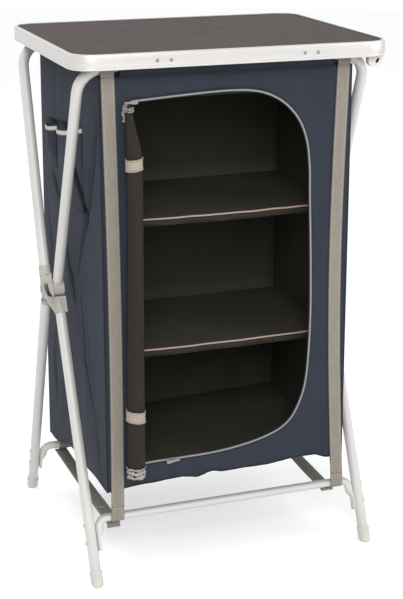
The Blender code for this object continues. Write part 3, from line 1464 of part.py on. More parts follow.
def make_cabinet(stuff):
    core = empty("cabinet_axis", HINGE)
    front = empty("front_panel_slide", (0.0, -wall_y(HINGE_Z), HINGE_Z))
    back = empty("back_panel_slide", (0.0, wall_y(HINGE_Z), HINGE_Z))
    for side, word in ((-1, "left"), (1, "right")):
        side_panel(f"side_panel_{word}", side, stuff, core)
        upright_strap(f"front_strap_{word}", side, -1, stuff, front)
        upright_strap(f"rear_strap_{word}", side, 1, stuff, back)
    bottom_strap("bottom_strap_left", LEFT_BOTTOM_WEB, LEFT_TAIL_DROP, stuff, core)
    bottom_strap("bottom_strap_right", RIGHT_BOTTOM_WEB, RIGHT_TAIL_DROP, stuff, core)
    cabinet_top(stuff, core)
    cabinet_floor(stuff, core)
    pocket("pocket_front", FRONT_POCKET_Y, POCKET_DEPTH, stuff, core)
    pocket("pocket_rear", REAR_POCKET_Y, POCKET_DEPTH * 0.6, stuff, core)
    shelf("shelf_lower", LOWER_SHELF_Z, stuff, core)
    shelf("shelf_upper", UPPER_SHELF_Z, stuff, core)
    back_panel(stuff, back)
    front_panel(stuff, front)
    zip_track(stuff, front)
    door_roll(stuff, front)
    tie("tie_upper", TIE_TOP_Z, TIE_TILT, stuff, front)
    tie("tie_lower", TIE_LOWER_Z, -TIE_TILT, stuff, front)
    zip_slider("zip_slider_upper", TOP_SLIDER_X, True, -1, stuff, front)
    zip_slider("zip_slider_lower", LOWER_SLIDER_X, False, 1, stuff, front)


def main():
    clear_scene()
    stuff = make_materials()
    make_frames(stuff)
    make_top(stuff)
    make_cabinet(stuff)


main()
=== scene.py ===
"""Folding camping cupboard: finishes, cloth, webbing and stage over a fixed frame."""
import math

import bmesh
import bpy
from bpy.props import FloatProperty, FloatVectorProperty, PointerProperty
from mathutils import Matrix, Vector, noise


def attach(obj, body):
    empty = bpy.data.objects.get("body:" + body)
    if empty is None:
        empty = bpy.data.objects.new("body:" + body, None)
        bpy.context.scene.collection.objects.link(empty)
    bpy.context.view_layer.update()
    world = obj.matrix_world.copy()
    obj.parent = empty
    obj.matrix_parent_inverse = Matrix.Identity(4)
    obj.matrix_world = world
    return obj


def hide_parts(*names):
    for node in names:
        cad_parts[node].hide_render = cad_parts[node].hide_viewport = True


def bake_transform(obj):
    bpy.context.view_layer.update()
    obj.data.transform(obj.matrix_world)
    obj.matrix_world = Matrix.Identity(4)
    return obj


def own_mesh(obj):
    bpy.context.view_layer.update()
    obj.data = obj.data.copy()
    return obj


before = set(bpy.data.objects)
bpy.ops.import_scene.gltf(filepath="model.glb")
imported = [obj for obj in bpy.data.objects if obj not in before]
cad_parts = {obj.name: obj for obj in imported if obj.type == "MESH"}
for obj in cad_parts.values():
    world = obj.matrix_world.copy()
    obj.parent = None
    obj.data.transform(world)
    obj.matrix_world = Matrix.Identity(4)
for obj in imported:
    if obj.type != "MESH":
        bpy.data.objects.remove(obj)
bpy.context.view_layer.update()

bl_info = {
    "name": "Folding camping cupboard",
    "version": (1, 0, 0),
    "blender": (4, 5, 0),
    "location": "3D View > Sidebar > Cupboard",
    "description": "Makes a folding cloth cupboard with a laminated top, piece by piece over its frame",
    "category": "Object",
}


# Colours and sizes that a user would change

def linear(value):
    share = value / 255
    return share / 12.92 if share <= 0.04045 else ((share + 0.055) / 1.055) ** 2.4


def tone(*screen):
    """A colour given as screen values from 0 to 255, as the linear values that a shader takes."""
    return tuple(linear(value) for value in screen)


def colour_property(name, description, *screen):
    return FloatVectorProperty(name=name, description=description, subtype="COLOR", size=3, min=0.0,
                               max=1.0, default=tone(*screen))


def length_property(name, description, default):
    return FloatProperty(name=name, description=description, default=default, min=0.0, max=1.0,
                         unit="LENGTH", precision=4)


class CupboardColours(bpy.types.PropertyGroup):
    """Colours of the cupboard's finishes."""
    cabinet_cloth: colour_property("Cabinet cloth", "Outer cloth of the cabinet", 51, 56, 66)
    lining: colour_property("Lining", "Dark inner side of the cabinet cloth", 72, 70, 62)
    door_cloth: colour_property("Door cloth", "Inner side of the rolled door", 49, 45, 41)
    webbing: colour_property("Webbing", "Upright straps", 156, 148, 137)
    dark_webbing: colour_property("Dark webbing", "Straps under the cabinet", 134, 130, 121)
    tie: colour_property("Tie tape", "Bands round the rolled door", 180, 166, 151)
    zip_tape: colour_property("Zip tape", "Zip round the door opening", 178, 175, 172)
    binding: colour_property("Binding", "Light tape on the pockets' mouths", 226, 222, 216)
    # The piping's pale colour is a painted highlight along the shelves' dark binding.
    piping: colour_property("Piping", "Light edge of the shelves", 196, 172, 156)
    laminate: colour_property("Laminate", "Top board", 73, 65, 62)
    aluminium: colour_property("Aluminium", "Rim of the top", 218, 215, 212)
    powder_coat: colour_property("Powder coat", "Tubes of the frame", 219, 216, 211)
    plastic: colour_property("Plastic", "Hinges, foot caps and rests", 217, 213, 204)
    steel: colour_property("Bare steel", "Rivets and pins", 150, 148, 146)


class CupboardSizes(bpy.types.PropertyGroup):
    """Sizes of the cloth and webbing."""
    cloth: length_property("Cloth thickness", "Thickness of the cabinet cloth", 0.0015)
    thread: length_property("Thread spacing", "Distance between threads of the cabinet cloth", 0.0008)
    stitch: length_property("Stitch length", "Distance from one stitch to the next", 0.0042)
    web_width: length_property("Webbing width", "Width of the straps", 0.025)
    web: length_property("Webbing thickness", "Thickness of the straps", 0.0015)
    web_rib: length_property("Webbing rib", "Distance between ribs across the webbing", 0.0019)
    fold: length_property("Fold depth", "Depth of the soft folds in the front", 0.0022)
    side_fold: length_property("Side fold depth", "Depth of the soft folds in the sides", 0.0030)
    sag: length_property("Shelf sag", "How far a shelf sags in its middle", 0.0030)
    tie_width: length_property("Tie width", "Width of the bands round the rolled door", 0.021)
    turns: FloatProperty(name="Door turns", description="Turns of cloth in the rolled door",
                         default=5.45, min=2.0, max=8.0)


def colours():
    return bpy.context.scene.cupboard_colours


def sizes():
    return bpy.context.scene.cupboard_sizes


# Building finishes from nodes

# Half width of a stitch, its share of the stitch length, and half width of the groove that it pulls in
STITCH_HALF, STITCH_SHARE, STITCH_GROOVE = 0.00055, 0.66, 0.0022
RIM_GROOVES_Z = (0.9842, 0.9672)


def add_node(tree, kind, *values, **settings):
    """A node whose first sockets are set to the values, or linked to those that are sockets."""
    made = tree.nodes.new("ShaderNode" + kind)
    for key, value in settings.items():
        setattr(made, key, value)
    for socket, value in zip(made.inputs, values):
        feed(tree, socket, value)
    return made


def feed(tree, socket, value):
    if isinstance(value, bpy.types.NodeSocket):
        tree.links.new(value, socket)
    else:
        socket.default_value = value


class Finish:
    """A material whose colour and height are built up step by step."""

    def __init__(self, name, colour, roughness, metallic=0.0, specular=0.5):
        self.material = bpy.data.materials.new(name)
        self.material.use_nodes = True
        self.material.diffuse_color = (*colour, 1.0)
        self.tree = self.material.node_tree
        self.shader = self.tree.nodes["Principled BSDF"]
        self.set("Roughness", roughness)
        self.set("Metallic", metallic)
        self.set("Specular IOR Level", specular)
        self.colour = self.node("CombineXYZ", *colour).outputs[0]
        self.normal = None
        self.point = self.node("TexCoord").outputs["Object"]

    def set(self, socket, value):
        feed(self.tree, self.shader.inputs[socket], value)

    def node(self, kind, *values, **settings):
        return add_node(self.tree, kind, *values, **settings)

    def math(self, operation, *values):
        return self.node("Math", *values, operation=operation).outputs[0]

    def split(self, vector):
        return list(self.node("SeparateXYZ", vector).outputs)

    def uv(self, layer):
        return self.split(self.node("UVMap", uv_map=layer).outputs[0])[:2]

    def noise(self, scale, detail, rough=0.5):
        """Noise over the object. Three scales stretch it along the three axes."""
        point = self.point
        if isinstance(scale, tuple):
            point = self.node("VectorMath", point, scale, operation="MULTIPLY").outputs[0]
            scale = 1.0
        made = self.node("TexNoise", point)
        for socket, value in (("Scale", scale), ("Detail", detail), ("Roughness", rough)):
            made.inputs[socket].default_value = value
        return made.outputs[0]

    def spread(self, value, low, high, to_low=0.0, to_high=1.0):
        return self.node("MapRange", value, low, high, to_low, to_high, clamp=True).outputs[0]

    def wave(self, value, pitch):
        return self.math("SINE", self.math("MULTIPLY", value, math.tau / pitch))

    def ribs(self, value, pitch):
        """Ridges that follow one another at a pitch, from 0 to 1."""
        return self.spread(self.wave(value, pitch), -1.0, 1.0)

    def away(self, value, middle):
        return self.math("ABSOLUTE", self.math("SUBTRACT", value, middle))

    def vary(self, value, low, high):
        """Scales the colour by a number that runs from low to high as the value runs from 0 to 1."""
        made = self.node("VectorMath", self.colour, operation="SCALE")
        feed(self.tree, made.inputs["Scale"], self.spread(value, 0.0, 1.0, low, high))
        self.colour = made.outputs[0]

    def mottle(self, scale, detail, low, high, rough=0.5):
        """Varies the colour with noise."""
        self.vary(self.noise(scale, detail, rough), low, high)

    def tint(self, mask, colour):
        """Mixes the colour towards another where the mask is 1."""
        made = self.node("Mix", data_type="VECTOR")
        feed(self.tree, made.inputs["Factor"], mask)
        feed(self.tree, made.inputs[4], self.colour)
        made.inputs[5].default_value = colour
        self.colour = made.outputs[1]

    def spots(self, value, low, high, amount, colour):
        """Mixes another colour in by up to an amount, as the value runs from low to high."""
        self.tint(self.spread(value, low, high, 0.0, amount), colour)

    def lift(self, value, height):
        """Raises the surface by a height in metres where the value is 1."""
        made = self.node("Bump")
        sockets = {"Strength": 1.0, "Distance": height, "Height": value}
        if self.normal is not None:
            sockets["Normal"] = self.normal
        for socket, given in sockets.items():
            feed(self.tree, made.inputs[socket], given)
        self.normal = made.outputs[0]

    def bumps(self, scale, detail, height, rough=0.5):
        """Raises the surface with noise."""
        self.lift(self.noise(scale, detail, rough), height)

    def roughen(self, value, low, high):
        self.set("Roughness", self.spread(value, 0.0, 1.0, low, high))

    def stitches(self, at, length, thread, depth=0.0005):
        """A row of stitches at a distance from the piece's edge."""
        along, off = self.uv("seam")
        near = self.away(off, at)
        row = self.math("LESS_THAN", near, STITCH_HALF)
        share = self.math("FRACT", self.math("DIVIDE", along, length))
        mask = self.math("MULTIPLY", row, self.math("LESS_THAN", share, STITCH_SHARE))
        self.lift(self.spread(near, 0.0, STITCH_GROOVE), depth)
        self.tint(mask, thread)
        self.lift(mask, depth * 0.6)

    def done(self):
        self.set("Base Color", self.colour)
        if self.normal is not None:
            self.set("Normal", self.normal)
        return self.material


def shaded(colour, share):
    return tuple(channel * share for channel in colour)


def woven(finish, pitch, height=0.00012, contrast=0.08):
    """A plain weave on the piece's own flat coordinates, with uneven threads."""
    across, along = finish.uv("weave")
    crossing = finish.math("MULTIPLY", finish.wave(across, pitch), finish.wave(along, pitch))
    level = finish.spread(crossing, -1.0, 1.0)
    finish.vary(level, 1.0 - contrast, 1.0 + contrast)
    finish.lift(level, height)
    finish.mottle((900.0, 900.0, 40.0), 1.0, 0.93, 1.07)


def cabinet_finish(name):
    """Coated polyester canvas: fine weave, soft cloudiness, paler rubbed creases, stitched seams,
    painted shade in its creases and a darker band along its edges.
    """
    finish = Finish(name, colours().cabinet_cloth, 0.66, specular=0.14)
    finish.mottle(7.0, 4.0, 0.86, 1.14, 0.6)
    finish.mottle((46.0, 46.0, 6.0), 3.0, 0.90, 1.10)
    rub = finish.noise(26.0, 5.0, 0.7)
    finish.spots(rub, 0.63, 0.80, 0.16, tone(104, 112, 124))
    finish.bumps((30.0, 30.0, 16.5), 5.0, 0.0026, 0.55)
    woven(finish, sizes().thread)
    # Darker band just inside every edge of the cloth: partly a dark bound edge, partly painted shade in
    # the gaps at the seams.
    off = finish.uv("seam")[1]
    finish.tint(finish.spread(off, 0.0022, 0.0034, 0.70, 0.0), tone(30, 32, 38))
    # Darker the deeper a point lies in a crease or hollow: painted shade.
    crease = finish.node("Attribute", attribute_name="fold").outputs["Fac"]
    finish.spots(crease, 0.14, 0.78, 0.88, tone(17, 18, 24))
    finish.stitches(0.0050, sizes().stitch, tone(40, 43, 52))
    finish.roughen(rub, 0.60, 0.76)
    return finish.done()


def lining_finish(name):
    """Dark inner side of the cabinet, with a faint weave."""
    finish = Finish(name, colours().lining, 0.88, specular=0.1)
    finish.mottle(11.0, 3.0, 0.80, 1.18)
    finish.bumps(24.0, 4.0, 0.0015)
    woven(finish, sizes().thread, contrast=0.06)
    finish.stitches(0.0060, sizes().stitch, tone(58, 55, 50))
    return finish.done()


def door_finish(name):
    """Inner side of the door cloth, with long soft creases where it is rolled, their light and shade
    painted as long streaks.
    """
    finish = Finish(name, colours().door_cloth, 0.80, specular=0.15)
    # Long upright streaks, lighter and darker: painted light and shade of the roll's creases.
    finish.mottle((120.0, 120.0, 7.0), 4.0, 0.80, 1.20)
    finish.mottle(16.0, 3.0, 0.92, 1.08)
    finish.bumps((90.0, 90.0, 12.0), 4.0, 0.0016)
    woven(finish, sizes().thread)
    return finish.done()


def webbing_finish(name, colour, roughness, specular, sheen=0.0):
    """Ribs across the webbing in a shallow chevron, darker selvedges and worn fibres."""
    finish = Finish(name, colour, roughness, specular=specular)
    finish.set("Sheen Weight", sheen)
    across, along = finish.uv("weave")
    rib, half = sizes().web_rib, sizes().web_width / 2
    off = finish.away(across, half)
    slant = finish.math("ADD", along, finish.math("MULTIPLY", off, 0.35))
    threads = finish.spread(finish.ribs(across, rib * 0.8), 0.0, 1.0, 0.55, 1.0)
    pattern = finish.math("MULTIPLY", finish.ribs(slant, rib), threads)
    finish.vary(pattern, 0.80, 1.13)
    finish.mottle((260.0, 260.0, 30.0), 3.0, 0.88, 1.09)
    finish.mottle(14.0, 3.0, 0.93, 1.06)
    finish.mottle((190.0, 190.0, 330.0), 3.0, 0.78, 1.22, 0.7)
    edge = finish.spread(off, half - 0.0014, half - 0.0006)
    finish.vary(edge, 1.0, 0.82)
    finish.lift(pattern, 0.00028)
    finish.lift(finish.math("SUBTRACT", 1.0, edge), 0.0004)
    finish.stitches(0.0030, 0.0034, shaded(tone(200, 192, 180), 0.8), 0.0003)
    return finish.done()


def tape_finish(name, colour, pitch, contrast=0.12):
    """Narrow woven tape with fine ribs along it."""
    finish = Finish(name, colour, 0.85, specular=0.25)
    woven(finish, pitch, 0.00018, contrast)
    finish.mottle(60.0, 3.0, 0.90, 1.08)
    finish.bumps(70.0, 4.0, 0.0007)
    finish.stitches(0.0022, 0.0034, shaded(colour, 0.55))
    return finish.done()


def zip_finish(name):
    """Zip tape with its coil as a ribbed line along the middle."""
    finish = Finish(name, colours().zip_tape, 0.60, specular=0.4)
    across, along = finish.uv("weave")
    off = finish.away(across, ZIP_WIDTH / 2)
    finish.tint(finish.spread(off, 0.0017, 0.0021), tone(66, 69, 78))
    coil = finish.math("LESS_THAN", off, 0.0015)
    teeth = finish.math("MULTIPLY", coil, finish.ribs(along, 0.0012))
    finish.vary(teeth, 1.0, 0.80)
    finish.lift(teeth, 0.00035)
    finish.mottle(500.0, 2.0, 0.92, 1.06)
    finish.lift(finish.ribs(across, 0.0006), 0.00008)
    return finish.done()


def laminate_finish(name):
    """Grey-brown laminate with a fine leather-like grain, faint scuffs and paler worn edges."""
    finish = Finish(name, colours().laminate, 0.50, specular=0.05)
    finish.mottle(420.0, 2.0, 0.90, 1.10)
    finish.mottle(5.0, 4.0, 0.93, 1.07, 0.6)
    grain = finish.node("TexVoronoi", finish.point, feature="DISTANCE_TO_EDGE")
    grain.inputs["Scale"].default_value = 520.0
    pits = finish.spread(grain.outputs["Distance"], 0.0, 0.12)
    finish.vary(pits, 0.90, 1.02)
    finish.lift(pits, 0.00006)
    finish.spots(finish.noise((9.0, 150.0, 1.0), 5.0, 0.7), 0.66, 0.78, 0.12, tone(150, 142, 137))
    x, y, _ = finish.split(finish.point)
    edge_x = finish.spread(finish.math("ABSOLUTE", x), 0.288, 0.298)
    edge_y = finish.spread(finish.math("ABSOLUTE", y), 0.218, 0.228)
    wear = finish.math("MULTIPLY", finish.math("MAXIMUM", edge_x, edge_y), finish.noise(60.0, 4.0))
    finish.spots(wear, 0.3, 0.8, 0.22, tone(140, 131, 126))
    finish.roughen(finish.noise(30.0, 5.0), 0.42, 0.58)
    return finish.done()


def aluminium_finish(name):
    """Satin extruded aluminium, drawn lengthways, with two faint grooves and small knocks."""
    finish = Finish(name, colours().aluminium, 0.34, metallic=0.72)
    z = finish.split(finish.point)[2]
    drawn = finish.noise((5.0, 5.0, 1400.0), 3.0)
    finish.vary(drawn, 0.93, 1.04)
    finish.lift(drawn, 0.00008)
    for level in RIM_GROOVES_Z:
        # Darker along each groove: painted shade in the groove, besides its pressed-in shape.
        groove = finish.spread(finish.away(z, level), 0.0, 0.0009)
        finish.vary(groove, 0.86, 1.0)
        finish.lift(groove, 0.0003)
    finish.mottle(8.0, 3.0, 0.96, 1.02)
    finish.spots(finish.noise(130.0, 4.0, 0.7), 0.72, 0.80, 0.30, tone(176, 174, 172))
    finish.roughen(finish.noise(45.0, 4.0), 0.28, 0.42)
    return finish.done()


def powder_finish(name):
    """White powder coat: orange peel, faint cloudiness, scuffs, a little dirt near the ground, and
    painted shade on the lower bars' upper sides.
    """
    finish = Finish(name, colours().powder_coat, 0.32)
    finish.set("Coat Weight", 0.15)
    finish.set("Coat Roughness", 0.22)
    finish.bumps(650.0, 2.0, 0.00006)
    finish.mottle(12.0, 4.0, 0.96, 1.02)
    z = finish.split(finish.point)[2]
    low = finish.spread(z, 0.02, 0.16, 1.0, 0.0)
    dirt = finish.math("MULTIPLY", low, finish.noise(40.0, 5.0, 0.65))
    finish.spots(dirt, 0.30, 0.75, 0.16, tone(160, 150, 138))
    # Darker where the lower bars face up under the cabinet: painted shade.
    facing = finish.split(finish.node("NewGeometry").outputs["Normal"])[2]
    below = finish.spread(z, 0.118, 0.128, 1.0, 0.0)
    painted_bar_top_shade = finish.math("MULTIPLY", finish.spread(facing, 0.45, 0.95), below)
    finish.tint(finish.math("MULTIPLY", painted_bar_top_shade, 0.55), tone(120, 116, 110))
    finish.spots(finish.noise((70.0, 70.0, 16.0), 5.0, 0.75), 0.70, 0.80, 0.22, tone(168, 164, 158))
    finish.roughen(finish.noise(90.0, 3.0), 0.26, 0.42)
    return finish.done()


def plastic_finish(name, share=1.0):
    """Moulded off-white plastic, mottled, with painted shade darkening its recesses."""
    finish = Finish(name, shaded(colours().plastic, share), 0.44, specular=0.45)
    finish.bumps(900.0, 2.0, 0.00004)
    finish.mottle(55.0, 3.0, 0.95, 1.03)
    # Near-black tint where the part's own surfaces close in on a point: painted shade in the recesses,
    # such as the hinge's slot.
    hollow = finish.node("AmbientOcclusion", samples=8, only_local=True)
    hollow.inputs["Distance"].default_value = 0.010
    painted_recess_shade = finish.spread(hollow.outputs["AO"], 0.42, 0.86, 1.0, 0.0)
    finish.tint(finish.math("MULTIPLY", painted_recess_shade, 0.92), tone(44, 40, 35))
    finish.spots(finish.noise(200.0, 4.0, 0.7), 0.68, 0.80, 0.20, tone(178, 172, 162))
    finish.roughen(finish.noise(80.0, 3.0), 0.38, 0.55)
    return finish.done()


def steel_finish(name, share=1.0):
    """Plated rivet heads with fine turned marks and dull spots; a larger share is paler."""
    finish = Finish(name, shaded(colours().steel, share), 0.36, metallic=0.9 / share)
    finish.mottle(700.0, 3.0, 0.78, 1.15)
    finish.spots(finish.noise(300.0, 4.0), 0.58, 0.75, 0.5, tone(84, 80, 76))
    finish.bumps(1500.0, 2.0, 0.00003)
    finish.roughen(finish.noise(400.0, 2.0), 0.28, 0.50)
    return finish.done()


FINISHES = {
    "Cabinet cloth": cabinet_finish,
    "Lining": lining_finish,
    "Door cloth": door_finish,
    "Webbing": lambda name: webbing_finish(name, colours().webbing, 0.82, 0.25, 0.10),
    "Dark webbing": lambda name: webbing_finish(name, colours().dark_webbing, 0.85, 0.2),
    "Tie tape": lambda name: tape_finish(name, colours().tie, 0.0012, 0.06),
    "Binding tape": lambda name: tape_finish(name, colours().binding, 0.0010, 0.07),
    "Shelf piping": lambda name: tape_finish(name, colours().piping, 0.0010, 0.07),
    "Shelf hem": lambda name: tape_finish(name, shaded(colours().lining, 0.42), 0.0016),
    "Loose zip tape": lambda name: tape_finish(name, colours().zip_tape, 0.0009, 0.10),
    "Zip tape": zip_finish,
    "Laminate": laminate_finish,
    "Satin aluminium": aluminium_finish,
    "Powder coat": powder_finish,
    "Moulded plastic": plastic_finish,
    # A darker copy of the same plastic for the hinges: painted shade.
    "Hinge plastic": lambda name: plastic_finish(name, 0.74),
    # A paler copy of the same plastic for the corner clip: painted light.
    "Clip plastic": lambda name: plastic_finish(name, 1.14),
    "Plated steel": steel_finish,
    "Pale zinc": lambda name: steel_finish(name, 1.9),
}


def finish_named(name):
    """A finish, made the first time it is asked for."""
    return bpy.data.materials.get(name) or FINISHES[name](name)


# Shape helpers

def lerp(start, end, share):
    return start + (end - start) * share


def limited(value, low=0.0, high=1.0):
    return min(max(value, low), high)


def hump(share):
    """0 at both ends, 1 half way."""
    return math.sin(math.pi * share)


def ease(value, low, high):
    """0 below low, 1 above high, smooth between."""
    share = limited((value - low) / (high - low))
    return share * share * (3 - 2 * share)


def bell(value, middle, width):
    return math.exp(-((value - middle) / width) ** 2)


def ripple(x, y, z=0.0):
    """Smooth noise from about -1 to 1."""
    return noise.noise(Vector((x, y, z)))


def face_towards(bm, direction):
    """Turns an open sheet so that its faces point to the side of a direction."""
    total = sum((face.normal.dot(Vector(direction)) * face.calc_area() for face in bm.faces), 0.0)
    if total < 0:
        bmesh.ops.reverse_faces(bm, faces=bm.faces)


def evenly(half, steps):
    """Places from -half to half in equal steps."""
    return [lerp(-half, half, step / steps) for step in range(steps + 1)]


def piece(name, bm, finish, body, stands_for=(), thick=0.0, inner=None, offset=-1.0):
    """Makes the object. Its thickness lies behind its faces, or astride them at an offset of 0."""
    mesh = bpy.data.meshes.new(name)
    bm.to_mesh(mesh)
    bm.free()
    for polygon in mesh.polygons:
        polygon.use_smooth = True
    mesh.materials.append(finish_named(finish))
    made = bpy.data.objects.new(name, mesh)
    bpy.context.scene.collection.objects.link(made)
    if thick:
        wall = made.modifiers.new("Thickness", "SOLIDIFY")
        wall.thickness = thick
        wall.offset = offset
        if inner:
            mesh.materials.append(finish_named(inner))
            wall.material_offset = 1
            wall.material_offset_rim = 0
    if stands_for:
        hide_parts(*stands_for)
    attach(made, body)
    return made


# Length over which a strip's end rounds off
STRIP_ROUND = 0.002


def close_ends(bm):
    edges = [edge for edge in bm.edges if edge.is_boundary]
    bmesh.ops.holes_fill(bm, edges=edges, sides=0)
    bmesh.ops.recalc_face_normals(bm, faces=bm.faces)
    return bm


def cloth_grid(columns, rows, place, size, outward, closed=False):
    """A grid of cloth laid by place(u, v), with its flat size and its distance from the edges as UV."""
    bm = bmesh.new()
    weave = bm.loops.layers.uv.new("weave")
    seam = bm.loops.layers.uv.new("seam")
    bmesh.ops.create_grid(bm, x_segments=columns, y_segments=rows, size=0.5)
    share = {vert: (vert.co.x + 0.5, vert.co.y + 0.5) for vert in bm.verts}
    width, height = size
    for face in bm.faces:
        middle = face.calc_center_median()
        u, v = middle.x + 0.5, middle.y + 0.5
        reach = [v * height, (1 - v) * height]
        if not closed:
            reach += [u * width, (1 - u) * width]
        nearest = reach.index(min(reach))
        for loop in face.loops:
            u, v = share[loop.vert]
            off = (v * height, (1 - v) * height, u * width, (1 - u) * width)[nearest]
            along = u * width if nearest < 2 else v * height
            loop[weave].uv = (u * width, v * height)
            loop[seam].uv = (along, off)
    for vert, (u, v) in share.items():
        vert.co = place(u, v)
    if closed:
        bmesh.ops.remove_doubles(bm, verts=bm.verts, dist=1e-6)
        bmesh.ops.recalc_face_normals(bm, faces=bm.faces)
    bm.normal_update()
    if not closed:
        face_towards(bm, outward)
    return bm


def along_path(points):
    """A function that gives the point at a share of a path's length, and the whole length."""
    reach = [0.0]
    for first, second in zip(points, points[1:]):
        reach.append(reach[-1] + (Vector(second) - Vector(first)).length)

    def spot(share):
        wanted = share * reach[-1]
        for index in range(len(points) - 1):
            if wanted <= reach[index + 1] or index == len(points) - 2:
                gap = reach[index + 1] - reach[index]
                part = limited((wanted - reach[index]) / gap)
                return Vector(points[index]).lerp(Vector(points[index + 1]), part)
    return spot, reach[-1]


def round_strip(path, across, rise, steps, columns):
    """A closed strip with an oval section swept along a path. Across and rise are half sizes."""
    spot, length = along_path(path)

    def place(u, v):
        here = spot(u)
        run = (spot(min(u + 0.01, 1.0)) - spot(max(u - 0.01, 0.0))).normalized()
        side = run.cross(Vector((0.0, 0.0, 1.0))).normalized()
        up = side.cross(run).normalized()
        end = min(u, 1 - u) * length
        shrink = math.sqrt(min(1.0, 0.25 + end / STRIP_ROUND))
        turn = math.tau * v
        return here + side * (across * math.cos(turn) * shrink) + up * (rise * math.sin(turn) * shrink)
    girth = math.tau * max(across, rise)
    return close_ends(cloth_grid(columns, steps, place, (length, girth), (0, 0, 1), True))


# The cabinet's shape, from the frame it hangs in

TOP_Z = 0.9445
FRONT_X, REAR_X = 0.2415, 0.2525
# Middles of the top and lower bars, and the cloth's distance from the middle plane at those heights
BAR_Y, BAR_Z = 0.172, 0.959
LOW_BAR_Y, LOW_BAR_Z = 0.18566, 0.112
WALL_LOW_Y, WALL_TOP_Y, WALL_RISE = 0.19396, 0.1828, 0.847
HINGE_Z = 0.517
HEM_LEFT_Z, HEM_RIGHT_Z = 0.165, 0.186
SHELF_Z = {"shelf_lower": 0.4215, "shelf_upper": 0.6735}
GAP = 0.0003
CORE, FRONT, BACK = "cabinet_core", "front_panel", "back_panel"
SIDE_BELLY = 0.0024
EDGE_INSET = 0.0018
REAR_HEM_DROP = 0.0260


def wall_y(z):
    """Distance of the front and back cloth from the middle plane."""
    return lerp(WALL_LOW_Y, WALL_TOP_Y, (z - LOW_BAR_Z) / WALL_RISE) - GAP


def hem_z(x):
    return lerp(HEM_LEFT_Z, HEM_RIGHT_Z, 0.5 + x / (2 * REAR_X))


def crumple(made):
    """Gives a piece of the cabinet its own copy of its mesh."""
    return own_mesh(made)


def bay_swell(z):
    """0 where a shelf is sewn to the sides, 1 half way between."""
    levels = (HEM_LEFT_Z, SHELF_Z["shelf_lower"], SHELF_Z["shelf_upper"], TOP_Z)
    for low, high in zip(levels, levels[1:]):
        if z <= high:
            return hump(limited((z - low) / (high - low)))
    return 0.0


# Deep fold that crosses the front pocket, points (y, z)
POCKET_CREASE = ((-0.024, 0.792), (-0.052, 0.745), (-0.078, 0.705), (-0.094, 0.672))
# Creases seen in the left side: points (y, z), depth and half width
CREASES = (
    (POCKET_CREASE, 0.0150, 0.0100),
    (((-0.060, 0.800), (-0.082, 0.740), (-0.098, 0.700)), -0.0028, 0.0080),
    (((0.112, 0.715), (0.095, 0.690), (0.078, 0.672)), 0.0085, 0.0065),
    (((-0.184, 0.918), (-0.150, 0.800), (-0.1175, 0.7074), (-0.072, 0.625), (-0.036, 0.550)),
     0.0062, 0.0052),
    (((-0.168, 0.910), (-0.134, 0.800), (-0.098, 0.705), (-0.050, 0.615)), -0.0020, 0.0075),
    (((0.034, 0.600), (0.012, 0.545), (-0.014, 0.488)), 0.0060, 0.0065),
    (((-0.060, 0.512), (-0.066, 0.450), (-0.068, 0.392), (-0.092, 0.350), (-0.118, 0.306)),
     0.0058, 0.0040),
    (((-0.078, 0.505), (-0.084, 0.440), (-0.090, 0.392), (-0.112, 0.352)), -0.0018, 0.0060),
    (((-0.128, 0.310), (-0.140, 0.245), (-0.148, 0.190)), 0.0022, 0.0060),
    (((0.150, 0.640), (0.135, 0.560), (0.150, 0.470)), 0.0030, 0.0100),
    (((0.120, 0.400), (0.135, 0.320), (0.120, 0.230)), 0.0030, 0.0090),
)
# Thin raised creases near the shelves' seams
PALE_CREASES = (
    (((0.010, 0.683), (-0.040, 0.690), (-0.090, 0.690)), -0.0012, 0.0022),
    (((-0.142, 0.688), (-0.165, 0.686), (-0.180, 0.690)), -0.0012, 0.0020),
    (((0.050, 0.444), (0.005, 0.434), (-0.045, 0.430)), -0.0012, 0.0024),
    (((-0.088, 0.431), (-0.130, 0.430), (-0.178, 0.429)), -0.0012, 0.0022),
)
# Hollows behind the pockets' mouths: middle (y, z), depth, half length, half height
HOLLOWS = (((0.030, 0.8205), 0.0120, 0.040, 0.0080), ((0.110, 0.8135), 0.0110, 0.030, 0.0075))
# Crease depth at which the painted shade in a crease is full
FOLD_SHADE_DEPTH = 0.0110


def off_line(y, z, line):
    """Distance of a point from a line of points, and how far along the line it is, from 0 to 1."""
    best, where = 1.0, 0.0
    here = Vector((y, z))
    count = len(line) - 1
    for index in range(count):
        start, end = Vector(line[index]), Vector(line[index + 1])
        run = end - start
        share = limited((here - start).dot(run) / run.length_squared)
        gap = (start + run * share - here).length
        if gap < best:
            best, where = gap, (index + share) / count
    return best, where


def creased(y, z):
    """Inward depth of the creases at a point of the left side."""
    depth = 0.0
    for line, deep, width in CREASES + PALE_CREASES:
        gap, where = off_line(y, z, line)
        if gap < width * 3:
            depth += deep * bell(gap, 0.0, width) * hump(lerp(0.12, 0.88, where))
    for (mid_y, mid_z), deep, half, high in HOLLOWS:
        depth += deep * bell(y, mid_y, half) * bell(z, mid_z, high)
    return depth


def shade_folds(made):
    """Keeps how deep in a crease each point lies, which the cloth's finish darkens as painted shade."""
    points = [vert.co for vert in made.data.vertices]
    depths = [limited(creased(point.y, point.z) / FOLD_SHADE_DEPTH) for point in points]
    made.data.attributes.new("fold", "FLOAT", "POINT").data.foreach_set("value", depths)


